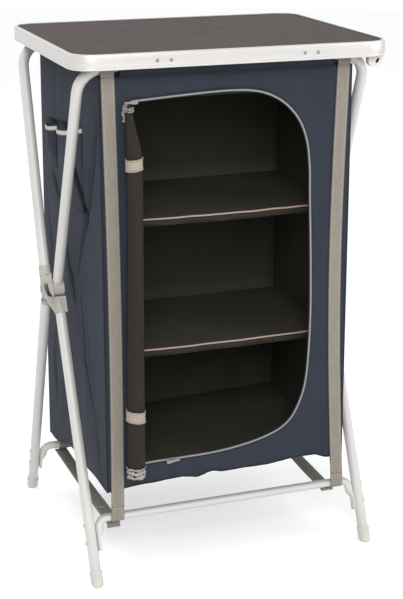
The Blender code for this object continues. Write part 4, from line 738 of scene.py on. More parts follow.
def side_x(side, y, z):
    """Distance of a side's outer face from the middle plane, with its folds."""
    share = 0.5 + y / (2 * wall_y(z))
    width = lerp(FRONT_X, REAR_X, share)
    swell = bay_swell(z)
    across = hump(limited(share))
    drift = ripple(y * 9.0 + side * 7.3, z * 4.0, 3.1)
    folds = 0.5 + 0.5 * math.sin(46.0 * (y + 0.10 * z) + 5.0 * drift)
    soft = ripple(y * 16.0, z * 7.0 + side * 4.0, 8.7)
    depth = sizes().side_fold * (0.25 + 0.75 * swell) * across * (0.62 * folds + 0.45 * soft)
    gather = bell(z, TOP_Z, 0.030) * 0.0008 * math.sin(y * 260.0 + 3 * soft) * across
    if side < 0:
        depth += creased(y, z) * ease(across, 0.0, 0.25)
    return width + SIDE_BELLY * swell * across - depth + gather


# Front of the cabinet

# Lower edge of the front as it hangs, points (x, z)
HEM_LINE = (
    (-0.2415, 0.1655), (-0.2097, 0.1690), (-0.1582, 0.1722), (-0.1180, 0.1748), (-0.0980, 0.1752),
    (-0.0760, 0.1718), (-0.0615, 0.1690), (-0.0520, 0.1722), (-0.0400, 0.1768), (-0.0309, 0.1784),
    (-0.0100, 0.1742), (0.0187, 0.1730), (0.0480, 0.1738), (0.0772, 0.1750), (0.1100, 0.1772),
    (0.1364, 0.1790), (0.1663, 0.1800), (0.1856, 0.1806), (0.1960, 0.1760), (0.2075, 0.1722),
    (0.2250, 0.1718), (0.2415, 0.1740),
)


def front_hem_z(x):
    for (x0, z0), (x1, z1) in zip(HEM_LINE, HEM_LINE[1:]):
        if x <= x1:
            return lerp(z0, z1, ease(x, x0, x1))
    return HEM_LINE[-1][1]


STRAP_INNER_X = 0.212
HEM_SLACK, HEM_REACH = 0.0040, 0.045


def front_y(x, z):
    """Place of the front cloth's outer face: flat on the straps, with soft folds and a slack hem."""
    edge = max(0.0, 1.0 - (z - hem_z(x)) / HEM_REACH)
    free = max(0.0, 1.0 - (x / (FRONT_X - 0.004)) ** 4)
    slack = HEM_SLACK * edge * free * (0.5 - 0.5 * math.cos(55.0 * x + 1.5))
    near_strap = ease(STRAP_INNER_X - abs(x), 0.0, 0.030)
    drift = ripple(x * 7.0, z * 3.0, 5.5)
    upright = 0.5 + 0.5 * math.sin(118.0 * x + 6.0 * drift)
    soft = 0.5 + 0.5 * ripple(x * 22.0, z * 10.0, 1.7)
    top = bell(z, TOP_Z, 0.045)
    depth = sizes().fold * near_strap * (0.35 * upright + 0.65 * soft) * (0.55 + 0.45 * top)
    depth *= 1.0 + 0.8 * ease(x, 0.120, 0.190)
    gather = top * near_strap * 0.0007 * (1 + math.sin(x * 330.0 + 5 * drift))
    return depth + slack + gather - wall_y(z)


# Width that the zip's pattern is drawn on
ZIP_WIDTH = 0.006
# Middle of the zip, from the rolled door's foot round the opening to its top, points (x, z)
ZIP_LINE = (
    (-0.1860, 0.2128), (-0.1580, 0.2158), (-0.1200, 0.2163), (-0.0800, 0.2165), (-0.0400, 0.2172),
    (0.0020, 0.2205), (0.0450, 0.2272), (0.0800, 0.2362), (0.1080, 0.2478), (0.1300, 0.2660),
    (0.1470, 0.2960), (0.1590, 0.3360), (0.1650, 0.4000), (0.1672, 0.4800), (0.1660, 0.5600),
    (0.1640, 0.6300), (0.1615, 0.7000), (0.1600, 0.7550), (0.1545, 0.8020), (0.1425, 0.8380),
    (0.1240, 0.8650), (0.1000, 0.8860), (0.0700, 0.9005), (0.0390, 0.9070), (0.0080, 0.9088),
    (-0.0250, 0.9085), (-0.0750, 0.9062), (-0.1310, 0.9030), (-0.1860, 0.8994),
)
ROLL_SEAM_X = -0.1805
OPENING_INSET, OPENING_MIDDLE = 0.0030, (0.0, 0.5550)
OPENING_CORNER, CORNER_CUT, OPENING_STEP = 0.004, 0.0012, 0.007
# Rings of cloth round the opening, how far in their first seam is sewn, and what counts as on the edge
SPOKE_RINGS, SEAM_INSET, NEAR_EDGE = 26, 0.0040, 1e-4
# Below this height the front's side edges end no lower than its hem
LOW_SIDE_Z = 0.25
HEM_HALF, HEM_ACROSS, HEM_RISE = 0.2395, 0.0014, 0.0022


def zip_curve():
    """The zip's middle line as close points on a smooth curve."""
    points = []
    knots = [Vector(knot) for knot in ZIP_LINE]
    knots = [2 * knots[0] - knots[1]] + knots + [2 * knots[-1] - knots[-2]]
    for before, start, end, after in zip(knots, knots[1:], knots[2:], knots[3:]):
        steps = max(2, round((end - start).length / 0.0055))
        for step in range(steps):
            t = step / steps
            points.append(0.5 * (
                2 * start + (end - before) * t + (2 * before - 5 * start + 4 * end - after) * t ** 2
                + (3 * start - before - 3 * end + after) * t ** 3))
    points.append(knots[-2])
    return points


def door_outline(inset):
    """The door opening as points (x, z), inside the zip's middle line by an inset."""
    line = zip_curve()
    points = []
    for index, point in enumerate(line):
        run = (line[min(index + 1, len(line) - 1)] - line[max(index - 1, 0)]).normalized()
        inner = point + Vector((-run.y, run.x)) * inset
        if inner.x > ROLL_SEAM_X + OPENING_CORNER:
            points.append(inner)
    low, high = points[0], points[-1]
    upper, lower = high.y - OPENING_CORNER, low.y + OPENING_CORNER
    steps = int((upper - lower) / OPENING_STEP)
    points.append(Vector((ROLL_SEAM_X + CORNER_CUT, high.y - CORNER_CUT)))
    points += [Vector((ROLL_SEAM_X, lerp(upper, lower, step / steps))) for step in range(steps + 1)]
    points.append(Vector((ROLL_SEAM_X + CORNER_CUT, low.y + CORNER_CUT)))
    return points


def to_edge(centre, point):
    """Where the ray from the centre through a point meets the front's straight sides."""
    run = point - centre
    reach = []
    if abs(run.x) > 1e-9:
        reach.append((math.copysign(FRONT_X, run.x) - centre.x) / run.x)
    if run.y > 1e-9:
        reach.append((TOP_Z - centre.y) / run.y)
    if run.y < -1e-9:
        reach.append((hem_z(0.0) - centre.y) / run.y)
    return centre + run * min(reach)


def front_cloth_mesh():
    """Rings of cloth from the door opening out to the straight edges and the hem."""
    opening = door_outline(OPENING_INSET)
    centre = Vector(OPENING_MIDDLE)
    outer = [to_edge(centre, point) for point in opening]
    low, high = hem_z(0.0), TOP_Z
    for corner in (Vector((x, z)) for x in (-FRONT_X, FRONT_X) for z in (low, high)):
        nearest = min(range(len(outer)), key=lambda index: (outer[index] - corner).length)
        outer[nearest] = corner
    for point in outer:
        if point.y < low + NEAR_EDGE:
            point.y = front_hem_z(point.x)
        elif point.y < LOW_SIDE_Z and abs(point.x) > FRONT_X - NEAR_EDGE:
            point.y = max(point.y, front_hem_z(point.x))
    bm = bmesh.new()
    weave = bm.loops.layers.uv.new("weave")
    seam = bm.loops.layers.uv.new("seam")
    count = len(opening)
    first = [bm.verts.new((point.x, 0.0, point.y)) for point in opening]
    edges = [bm.edges.new((first[index], first[(index + 1) % count])) for index in range(count)]
    place = {vert: (index, 0) for index, vert in enumerate(first)}
    for ring in range(1, SPOKE_RINGS + 1):
        grown = bmesh.ops.extrude_edge_only(bm, edges=edges)["geom"]
        edges = [item for item in grown if isinstance(item, bmesh.types.BMEdge)
                 and all(vert not in place for vert in item.verts)]
        for vert in (item for item in grown if isinstance(item, bmesh.types.BMVert)):
            linked = [edge.other_vert(vert) for edge in vert.link_edges]
            inner = next(other for other in linked if other in place and place[other][1] == ring - 1)
            index = place[inner][0]
            spot = opening[index].lerp(outer[index], ring / SPOKE_RINGS)
            vert.co = (spot.x, 0.0, spot.y)
            place[vert] = (index, ring)
    reach = [0.0]
    for index in range(count):
        reach.append(reach[-1] + (opening[(index + 1) % count] - opening[index]).length)
    for face in bm.faces:
        spots = [place[loop.vert] for loop in face.loops]
        wrapped = {index for index, _ in spots} == {0, count - 1}
        outside = sum(ring for _, ring in spots) > 2 * SPOKE_RINGS
        for loop, (index, ring) in zip(face.loops, spots):
            along = reach[count] if wrapped and index == 0 else reach[index]
            spoke = (outer[index] - opening[index]).length
            share = ring / SPOKE_RINGS
            off = (1 - share) * spoke if outside else share * spoke - SEAM_INSET
            loop[weave].uv = (loop.vert.co.x, loop.vert.co.z)
            loop[seam].uv = (along, off)
    flat_area = sum(face.calc_area() for face in bm.faces)
    for vert in bm.verts:
        vert.co.y = front_y(vert.co.x, vert.co.z)
    bm.normal_update()
    face_towards(bm, (0, -1, 0))
    return bm, flat_area


def make_front_cloth():
    bm, flat_area = front_cloth_mesh()
    made = piece("front_cloth", bm, "Cabinet cloth", FRONT, ["front_panel"],
                 sizes().cloth, "Lining")
    heights = [(x, front_hem_z(x)) for x in evenly(HEM_HALF, 90)]
    path = [(x, front_y(x, z) + 0.0009, z + 0.0016) for x, z in heights]
    bm = round_strip(path, HEM_ACROSS, HEM_RISE, 8, 180)
    piece("front_hem", bm, "Cabinet cloth", FRONT)


# Sides, back, roof and floor of the cabinet

def side_sheet(side):
    def place(u, v):
        z = lerp(hem_z(side * REAR_X), TOP_Z, v)
        reach = wall_y(z) - EDGE_INSET
        y = lerp(-reach, reach, u)
        drop = 0.0
        if side < 0:
            drop = 0.0014 * math.sin(y * 42.0) - REAR_HEM_DROP * ease(y, 0.045, 0.165)
        return Vector((side * side_x(side, y, z), y, z + drop * (1.0 - ease(v, 0.0, 0.10))))
    columns, rows = (130, 256) if side < 0 else (90, 170)
    return cloth_grid(columns, rows, place, (0.375, 0.775), (side, 0, 0))


def make_side_cloth():
    for side, word in ((-1, "left"), (1, "right")):
        made = piece(f"side_cloth_{word}", side_sheet(side), "Cabinet cloth", CORE,
                     [f"side_panel_{word}"], sizes().cloth, "Lining")
        if side < 0:
            shade_folds(made)
        crumple(made)


def make_back_cloth():
    def place(u, v):
        x = lerp(-REAR_X, REAR_X, u)
        drop = REAR_HEM_DROP * ease(-x, 0.110, 0.225) * (1.0 - ease(v, 0.0, 0.10))
        z = lerp(hem_z(x), TOP_Z, v) - drop
        drift = ripple(x * 6.0, z * 3.0, 12.0)
        free = ease(REAR_X - abs(x), 0.0, 0.05)
        depth = 0.0030 * free * (0.5 + 0.5 * math.sin(52.0 * x + 7.0 * drift))
        depth *= 0.3 + 0.7 * bay_swell(z)
        slack = 0.0030 * free * max(0.0, 1.0 - v / 0.05) * (0.5 + 0.5 * math.sin(61.0 * x))
        return Vector((x, wall_y(z) - depth - slack, z))
    made = piece("back_cloth", cloth_grid(100, 150, place, (0.505, 0.77), (0, 1, 0)), "Cabinet cloth",
                 BACK, ["back_panel"], sizes().cloth, "Lining")


SLEEVE_RADIUS = 0.01105
SLEEVE_HALF, VALANCE_HALF, TUCK_HALF = 0.205, 0.2055, 0.2360
VALANCE_LOW_Z, VALANCE_TOP_Z, VALANCE_HEIGHT = 0.9425, 0.9618, 0.0193
TUCK_LOW_Z, TUCK_TOP_Z, TUCK_LENGTH, TUCK_LEAN = 0.8990, 0.9560, 0.0586, 0.24


def arc(middle, radius, start, end, steps):
    """Points round a middle, between two angles in degrees."""
    turns = [math.radians(lerp(start, end, step / steps)) for step in range(steps + 1)]
    return [(middle[0] + radius * math.cos(turn), middle[1] + radius * math.sin(turn)) for turn in turns]


def sleeve(word, face):
    """The roof's end, turned round a top bar and sewn back on itself."""
    path = arc((BAR_Y, BAR_Z), SLEEVE_RADIUS, 222.0, -90.0, 22)
    path += [(BAR_Y - 0.004, BAR_Z - SLEEVE_RADIUS - 0.0006), (BAR_Y - 0.009, 0.9442), (0.1575, 0.9432)]
    spot, length = along_path(path)

    def place(u, v):
        y, z = spot(v)
        wobble = 0.0006 * ripple(u * 30.0, v * 4.0, face * 3.0)
        return Vector((lerp(-SLEEVE_HALF, SLEEVE_HALF, u), face * (y + wobble), z + wobble * 0.5))
    size = (2 * SLEEVE_HALF, length)
    made = piece(f"roof_sleeve_{word}", cloth_grid(90, 40, place, size, (0, 0, 1)), "Cabinet cloth",
                 f"{word}_frame", ["cabinet_top"], sizes().cloth, offset=0.0)
    return made, size, "stretched"


def valance(word, face):
    """Cloth turned up over a top bar between the straps."""
    def place(u, v):
        x = lerp(-VALANCE_HALF, VALANCE_HALF, u)
        z = lerp(VALANCE_LOW_Z, VALANCE_TOP_Z, v)
        pucker = 0.0005 * math.sin(x * 210.0 + 4.0 * ripple(x * 8.0, 0.0, face)) * (1 - v)
        return Vector((x, face * (lerp(0.1836, 0.1850, v) + 0.0004 + 0.5 * pucker), z))
    size = (2 * VALANCE_HALF, VALANCE_HEIGHT)
    made = piece(f"roof_valance_{word}", cloth_grid(150, 6, place, size, (0, face, 0)), "Cabinet cloth",
                 f"{word}_frame", ["cabinet_top"], 0.0007)
    return made, size, "stretched"


def tuck(word, face):
    """Cloth hung from a top bar behind the wall."""
    def place(u, v):
        x = lerp(-TUCK_HALF, TUCK_HALF, u)
        z = lerp(TUCK_LOW_Z, TUCK_TOP_Z, v)
        soft = 0.0012 * (1 - v) * ripple(x * 14.0, 0.0, face * 3.0)
        inward = 0.0022 + TUCK_LEAN * (TUCK_TOP_Z - z) + soft
        return Vector((x, face * (wall_y(z) - inward), z))
    size = (2 * TUCK_HALF, TUCK_LENGTH)
    made = piece(f"roof_tuck_{word}", cloth_grid(90, 12, place, size, (0, face, 0)), "Cabinet cloth",
                 f"{word}_frame", thick=0.0007, inner="Lining")
    return made, size, "hung"


ROOF_REACH, ROOF_EDGE_Z, ROOF_Z, ROOF_SAG = 0.158, 0.9425, 0.9437, 0.0045


def make_roof():
    def place(u, v):
        y = lerp(-ROOF_REACH, ROOF_REACH, v)
        side = -1 if u < 0.5 else 1
        width = side_x(side, y, ROOF_EDGE_Z) - EDGE_INSET
        x = lerp(-width, width, u)
        sag = ROOF_SAG * hump(u) * hump(v)
        folds = 0.0016 * hump(v) * (0.5 + 0.5 * ripple(x * 14.0, y * 9.0, 21.0))
        return Vector((x, y, ROOF_Z - sag - folds))
    made = piece("roof_cloth", cloth_grid(80, 54, place, (0.49, 0.316), (0, 0, 1)), "Lining",
                 CORE, ["cabinet_top"], sizes().cloth)
    crumple(made)
    for make in (sleeve, valance, tuck):
        for word, face in (("front", -1), ("rear", 1)):
            made, size, held = make(word, face)


FLOOR_RISE, FLOOR_INSET, FLOOR_SIDE_INSET, FLOOR_SAG = 0.004, 0.0040, 0.0026, 0.0050


def make_floor():
    def place(u, v):
        across = lerp(-1.0, 1.0, u)
        z = hem_z(across * FRONT_X) + FLOOR_RISE
        reach = wall_y(z) - FLOOR_INSET
        y = lerp(-reach, reach, v)
        side = -1 if across < 0 else 1
        x = across * (side_x(side, y, z) - FLOOR_SIDE_INSET)
        sag = FLOOR_SAG - 0.0015 * ripple(x * 12.0, y * 8.0, 31.0)
        return Vector((x, y, z - sag * hump(u) * hump(v)))
    made = piece("floor_cloth", cloth_grid(80, 60, place, (0.488, 0.378), (0, 0, 1)), "Lining",
                 CORE, ["cabinet_floor"], sizes().cloth)
    crumple(made)


# Shelves

SHELF_HALF, SHELF_REACH, SHELF_THICK = 0.2395, 0.147, 0.0048
SHELF_FRONT_HALF, FLAP_DROP = 0.2345, 0.0105


def make_shelves():
    half, depth = SHELF_HALF, SHELF_REACH
    for name, z in SHELF_Z.items():
        bm = bmesh.new()
        weave = bm.loops.layers.uv.new("weave")
        bmesh.ops.create_cube(bm, size=1.0)
        bmesh.ops.scale(bm, vec=(2 * half, 2 * depth, SHELF_THICK), verts=bm.verts)
        bmesh.ops.bevel(bm, geom=bm.edges[:], offset=0.0022, affect="EDGES", segments=3, profile=0.5,
                        material=-1)
        for axis, steps, reach in (((1, 0, 0), 40, half), ((0, 1, 0), 24, depth)):
            for step in range(1, steps):
                spot = Vector(axis) * lerp(-reach, reach, step / steps)
                bmesh.ops.bisect_plane(bm, geom=bm.verts[:] + bm.edges[:] + bm.faces[:], plane_co=spot,
                                       plane_no=axis, dist=1e-6)
        for vert in bm.verts:
            x, y, rise = vert.co
            lean = 1.0 + 0.018 * (y / depth)
            sag = sizes().sag * (1 - (x / half) ** 2) * (0.55 - 0.45 * y / depth)
            bump = 0.0006 * ripple(x * 9.0, y * 9.0, z * 20.0)
            vert.co = Vector((x * lean, y, z + rise - sag + bump))
        for face in bm.faces:
            for loop in face.loops:
                loop[weave].uv = (loop.vert.co.x, loop.vert.co.y)
        piece(f"{name}_board", bm, "Lining", name, [name])

        def front_edge(x, rise, out):
            sag = sizes().sag * (1 - (x / half) ** 2)
            wave = 0.0006 * ripple(x * 24.0, z * 9.0, 2.0)
            return (x, -depth - out + wave, z + rise - sag + wave)
        xs = evenly(SHELF_FRONT_HALF, 70)
        # Pale cord on the dark binding's top edge: painted highlight.
        highlight_cord = round_strip([front_edge(x, 0.0030, 0.0006) for x in xs], 0.0017, 0.0017, 10, 140)
        piece(f"{name}_piping", highlight_cord, "Shelf piping", name)

        def flap(u, v):
            x = lerp(-SHELF_FRONT_HALF, SHELF_FRONT_HALF, u)
            curl = 0.0012 * math.sin(x * 60.0 + z * 30.0) * v
            drop = FLAP_DROP + 0.0014 * ripple(x * 18.0, z * 7.0, 4.0)
            return Vector(front_edge(x, 0.0018 - drop * v, 0.0008 + 0.0010 * v + curl))
        hem = cloth_grid(110, 5, flap, (2 * SHELF_FRONT_HALF, FLAP_DROP), (0, -1, 0))
        made = piece(f"{name}_flap", hem, "Shelf hem", name, thick=0.0010)
        lip = round_strip([front_edge(x, -0.0088, 0.0020) for x in xs], 0.0009, 0.0009, 8, 140)
        piece(f"{name}_lip", lip, "Door cloth", name)


# Pockets on the left side

# Each pocket: y of its front and rear edges, its depth, and how much its mouth rises to the front
POCKETS = {"pocket_front": (-0.082, 0.073, 0.128, 0.0290), "pocket_rear": (0.077, 0.142, 0.078, 0.0050)}
POCKET_MOUTH_Z = 0.8085


def pocket_spot(name, u, v, proud=0.0):
    """A point of a pocket: u across from front to rear, v up from its foot to its mouth."""
    near, far, depth, tilt = POCKETS[name]
    y = lerp(near, far, u)
    arch = max(hump(limited(u)), 0.0)
    z = POCKET_MOUTH_Z - depth * (1 - v) + (tilt * (1 - u) - 0.0030 * arch) * ease(v, 0.30, 1.0)
    bulge = (0.0016 + 0.0068 * ease(v, 0.0, 0.55)) * arch ** 0.55
    gap, where = off_line(y, z, POCKET_CREASE)
    fold = bell(gap, 0.0, 0.0068) * ease(where, 0.0, 0.30)
    bulge *= 1.0 - 0.95 * fold
    bulge -= 0.0080 * fold * arch ** 0.3
    pleats = 0.0008 * math.sin(u * 44.0) * ease(v, 0.6, 1.0) * arch
    soft = 0.0010 * ripple(y * 40.0, z * 22.0, 9.0) * arch * (1 - ease(v, 0.8, 1.0))
    flat = lerp(FRONT_X, REAR_X, 0.5 + y / (2 * wall_y(z))) + 0.0006 * arch
    return Vector((-(flat + 0.0007 + bulge + pleats + soft + proud), y, z))


# Share by which a pocket's cloth is wider than its place, and width of the tape folded over its mouth
GATHER, BINDING_WIDTH = 1.15, 0.019


def make_pockets():
    for name, (near, far, depth, _) in POCKETS.items():
        width = GATHER * (far - near)
        bm = cloth_grid(64, 44, lambda u, v: pocket_spot(name, u, v), (width, depth), (-1, 0, 0))
        made = piece(f"{name}_cloth", bm, "Cabinet cloth", CORE, [name], 0.0010,
                     "Lining")
        shade_folds(made)
        crumple(made)

        def band(u, v):
            """Gathered tape folded over the mouth, outside first and inside last."""
            turn = math.tau * v
            spot = pocket_spot(name, u, 0.985, 0.0006 + 0.0010 * math.cos(turn))
            pucker = 0.0005 * math.sin(u * 120.0) + 0.0006 * ripple(u * 30.0, 0.0, 5.0)
            spot.z += 0.0042 * math.sin(turn) - 0.0030
            spot.x -= pucker * (0.5 + 0.5 * math.cos(turn))
            return spot
        bm = close_ends(cloth_grid(80, 12, band, (width, BINDING_WIDTH), (-1, 0, 0), True))
        crumple(piece(f"{name}_binding", bm, "Binding tape", CORE))


# Rolled door, its ties and its loose tape

ROLL_X, ROLL_TOP_Z, ROLL_BOTTOM_Z = -0.1862, 0.890, 0.197
ROLL_MEAN_RADIUS = 0.0103
# Share of a round section's radius at the middle of one of the flats that it is made of
FLAT_SHARE = 0.98769
TIE_PROUD = 0.0012
LOOSE_TAPE_RADIUS = 0.018
# Each tie: its height and how much it tilts
TIE_Z = {"tie_upper": (0.7915, 0.12), "tie_lower": (0.3210, -0.12)}


def roll_radius(z):
    radius = lerp(0.0180, 0.0153, ease(z, 0.200, 0.700)) - 0.0074 * ease(z, 0.795, ROLL_TOP_Z)
    radius -= 0.0020 * (1 - ease(z, 0.212, 0.232))
    for middle, _ in TIE_Z.values():
        radius -= 0.0016 * bell(z, middle, 0.018)
    return radius


def roll_x(z):
    """The roll leans a little, and tapers from its right towards its top."""
    return ROLL_X + lerp(-0.0048, 0.0012, ease(z, 0.150, 0.750)) - 0.0072 * ease(z, 0.795, ROLL_TOP_Z)


def roll_centre(z):
    return Vector((roll_x(z), -wall_y(z) - TIE_PROUD - GAP - (roll_radius(z) + GAP) / FLAT_SHARE, z))


def round_roll(centre, radius, turn):
    return centre + Vector((radius * math.cos(turn), radius * math.sin(turn), 0.0))


def tied(z):
    """1 at a tie, 0 away from it."""
    return max(bell(z, middle, 0.016) for middle, _ in TIE_Z.values())


def make_door_roll():
    turns = sizes().turns
    length, height = math.tau * turns * ROLL_MEAN_RADIUS, ROLL_TOP_Z - ROLL_BOTTOM_Z

    def place(u, v):
        z = lerp(ROLL_BOTTOM_Z, ROLL_TOP_Z, v)
        turn = math.pi * 0.5 - math.tau * turns * (1 - u)
        radius = lerp(0.30, 1.0, u ** 0.8) * roll_radius(z)
        lump = 0.0007 * ripple(math.cos(turn) * 1.6 + 4.0, math.sin(turn) * 1.6, z * 14.0)
        crease = 0.0005 * ripple(math.cos(turn) * 5.0, math.sin(turn) * 5.0 + 9.0, z * 5.0)
        radius += (lump + crease) * (1 - tied(z)) * u - 0.0008 * u
        return round_roll(roll_centre(z), radius, turn)
    bm = cloth_grid(int(turns * 28), 120, place, (length, height), (-1, 0, 0))
    made = piece("door_roll_cloth", bm, "Door cloth", FRONT, ["door_roll"], 0.0011,
                 offset=0.0)

    def web(u, v):
        """Cloth that runs from the roll to its seam beside the opening, except behind the ties."""
        z = lerp(ROLL_BOTTOM_Z + 0.020, ROLL_TOP_Z - 0.002, v)
        far = -wall_y(z) - 0.0006
        near = roll_centre(z).y + roll_radius(z) * 0.93
        pinch = tied(z)
        x = roll_x(z) + 0.0010 * math.sin(z * 50.0) - 0.0012 * pinch
        return Vector((x, lerp(near, lerp(far, near + 0.0002, ease(pinch, 0.2, 0.6)), u), z))
    bm = cloth_grid(3, 120, web, (0.003, 0.668), (-1, 0, 0))
    piece("door_roll_web", bm, "Door cloth", FRONT, thick=0.0008)


def make_ties():
    width = sizes().tie_width
    for name, (middle, tilt) in TIE_Z.items():
        mean = (roll_radius(middle) + GAP) / FLAT_SHARE + TIE_PROUD

        def place(u, v):
            turn = math.tau * u - math.pi / 2
            z = middle + (v - 0.5) * width + tilt * 0.0165 * math.cos(turn)
            flare = 0.0009 * (2 * v - 1) ** 2
            flare += 0.0004 * ripple(math.cos(turn) * 2, math.sin(turn) * 2, v * 3)
            return round_roll(roll_centre(z), mean + flare, turn)
        girth = math.tau * mean
        bm = cloth_grid(56, 12, place, (girth, width), (0, -1, 0), True)
        made = piece(f"{name}_band", bm, "Tie tape", FRONT, [name], 0.0011)


def crumpled_band(name, low, high, start, sweep, grow, seed):
    """Loose tape bunched round an end of the roll, over part of its circumference."""
    def place(u, v):
        turn = math.radians(start + sweep * u)
        z = lerp(low, high, v) + 0.0016 * ripple(u * 7.0, v * 2.0, seed)
        level = limited(z, ROLL_BOTTOM_Z, ROLL_TOP_Z)
        fold = 0.0016 * math.sin(v * 15.0 + 3.0 * ripple(u * 5.0, v * 3.0, seed))
        fold += 0.0010 * ripple(u * 16.0, v * 9.0, seed + 4.0)
        spot = round_roll(roll_centre(level), roll_radius(level) + grow + fold, turn)
        return Vector((spot.x, spot.y, z))
    girth = LOOSE_TAPE_RADIUS * math.radians(abs(sweep))
    bm = cloth_grid(60, 34, place, (girth, high - low), (0, -1, 0))
    piece(name, bm, "Loose zip tape", FRONT, thick=0.0008)


def make_loose_tape():
    crumpled_band("door_tape_foot", 0.1985, 0.2200, -200.0, 195.0, 0.0002, 3.0)
    crumpled_band("door_tape_collar", 0.8835, 0.8915, -190.0, 175.0, 0.0006, 7.0)

    def strip(u, v):
        """End of the zip tape, turned down beside the roll's top."""
        z = lerp(0.8650, 0.8950, v)
        bend = 0.0016 * math.sin(v * 17.0) + 0.0012 * ripple(u * 3.0, v * 9.0, 2.0)
        x = -0.2015 + 0.0070 * u + 0.0012 * math.sin(v * 9.0)
        return Vector((x, -wall_y(z) - 0.0042 + bend - 0.0030 * u, z))
    bm = cloth_grid(10, 40, strip, (0.0070, 0.029), (0, -1, 0))
    piece("zip_tape_end", bm, "Loose zip tape", FRONT, thick=0.0008)


# Zip round the opening

# Section of the zip: share across its tape, and share of the coil's height
ZIP_SECTION = ((0.0, 0.0), (0.25, 0.55), (0.34, 1.0), (0.5, 1.15), (0.66, 1.0), (0.75, 0.55), (1.0, 0.0))
ZIP_PROUD, COIL_HEIGHT, TAPE_WIDTH = 0.0004, 0.0009, 0.0058


def make_zip():
    spot, length = along_path(zip_curve())

    def place(u, v):
        here = spot(v)
        run = (spot(min(v + 0.002, 1.0)) - spot(max(v - 0.002, 0.0))).normalized()
        out = Vector((-run.y, run.x))
        share, rise = ZIP_SECTION[round(u * (len(ZIP_SECTION) - 1))]
        flat = here + out * (share - 0.5) * TAPE_WIDTH
        y = -wall_y(flat.y) - ZIP_PROUD - COIL_HEIGHT * rise
        return Vector((flat.x, y, flat.y))
    bm = cloth_grid(len(ZIP_SECTION) - 1, 420, place, (ZIP_WIDTH, length), (0, -1, 0))
    piece("zip_tape_run", bm, "Zip tape", FRONT, ["zip_track"], 0.0004)
    for name in ("zip_slider_upper", "zip_slider_lower"):
        dress(name, "Plated steel")


# Webbing

# Each side's straps, left -1 and right 1: x at their tops and feet, and how far they bow inwards
WEB_TOP = {-1: 0.227, 1: 0.2245}
WEB_FOOT = {-1: 0.223, 1: 0.2312}
WEB_BOW = {-1: 0.004, 1: 0.012}
UPPER_ANGLE = math.atan2(BAR_Y, BAR_Z - HINGE_Z)
LAP_LEAN, LAP_SHARE = 0.13, 0.92
LOW_STRAP_SAG = 0.0030
BAR_RADIUS, LOW_BAR_RADIUS, LOOP_SLACK = 0.010, 0.008, 0.0008
WEB_TOP_Z, WEB_LOW_Z = 0.944, 0.135
CUPPED_LOW_Z, CUPPED_TOP_Z, LOOP_FROM_Z, LOOP_END_Y = 0.14, 0.92, 0.939, 0.1745
# Radius of the top bars' end bends, and how far out the front and rear bars reach
BEND_RADIUS, FRONT_REACH_X, REAR_REACH_X = 0.047, 0.2735, 0.2915


def web_x(side, z):
    share = limited((z - LOW_BAR_Z) / (BAR_Z - LOW_BAR_Z))
    return side * (lerp(WEB_FOOT[side], WEB_TOP[side], share) - WEB_BOW[side] * hump(share))


def bar_drop(x, front):
    """How far the top bar has bent down towards its leg."""
    straight = (FRONT_REACH_X if front else REAR_REACH_X) - BEND_RADIUS
    past = max(abs(x) - straight, 0.0)
    return BEND_RADIUS - math.sqrt(BEND_RADIUS ** 2 - past ** 2)


def web_sheet(side, face, path, looped, rows, narrowed=1.0):
    spot, length = along_path(path)
    width = sizes().web_width * narrowed

    def place(u, v):
        y, z = spot(v)
        x = web_x(side, z) + (u - 0.5) * width
        proud = 0.0
        if CUPPED_LOW_Z < z < CUPPED_TOP_Z:
            proud = 0.0005 * (1 - (2 * u - 1) ** 2) + abs(0.0004 * ripple(z * 10.0, side * 3.0, face))
        drop = bar_drop(x, face < 0) if looped and z > LOOP_FROM_Z else 0.0
        lean = drop * math.sin(UPPER_ANGLE) if y < BAR_Y else 0.0
        return Vector((x, face * (y + proud - lean), z - drop * math.cos(UPPER_ANGLE)))
    return cloth_grid(10, rows, place, (width, length), (0, face, 0))


def make_upright_straps():
    half = sizes().web / 2
    frames = {-1: ("front_frame", "rear_frame", FRONT), 1: ("rear_frame", "front_frame", BACK)}
    radius = BAR_RADIUS + LOOP_SLACK + half
    low_radius = LOW_BAR_RADIUS + GAP + half

    def on_wall(z, inward=0.0):
        return wall_y(z) + GAP + half - inward, z

    for side, hand in ((-1, "left"), (1, "right")):
        for face, word in ((-1, "front"), (1, "rear")):
            top_body, foot_body, wall_body = frames[face]
            node = f"{word}_strap_{hand}"
            loop = [(LOOP_END_Y, BAR_Z - radius + 0.0004)] + arc((BAR_Y, BAR_Z), radius, 270, 0, 24)
            loop.append(on_wall(WEB_TOP_Z))
            foot = [on_wall(WEB_LOW_Z)] + arc((LOW_BAR_Y, LOW_BAR_Z), low_radius, 0, -90, 12)
            if face < 0:
                foot.append((LOW_BAR_Y - 0.020, LOW_BAR_Z - low_radius))
            else:
                foot += arc((LOW_BAR_Y, LOW_BAR_Z), low_radius, -98, -262, 22)
            web = [on_wall(lerp(WEB_TOP_Z, WEB_LOW_Z, step / 60)) for step in range(61)]
            for part, path, body, rows in (("loop", loop, top_body, 40), ("web", web, wall_body, 150),
                                           ("foot", foot, foot_body, 26)):
                piece(f"{node}_{part}", web_sheet(side, face, path, part == "loop", rows), "Webbing",
                      body, [node], sizes().web, offset=0.0)
            for end, start, stop, body in (("upper", 0.9435, 0.8960, top_body),
                                           ("lower", 0.1330, 0.1880, foot_body)):
                levels = [lerp(start, stop, step / 12) for step in range(13)]
                path = [on_wall(z, LAP_LEAN * abs(z - start)) for z in levels]
                bm = web_sheet(side, face, path, False, 26, LAP_SHARE)
                piece(f"{node}_{end}_lap", bm, "Webbing", body, thick=sizes().web * 0.45)


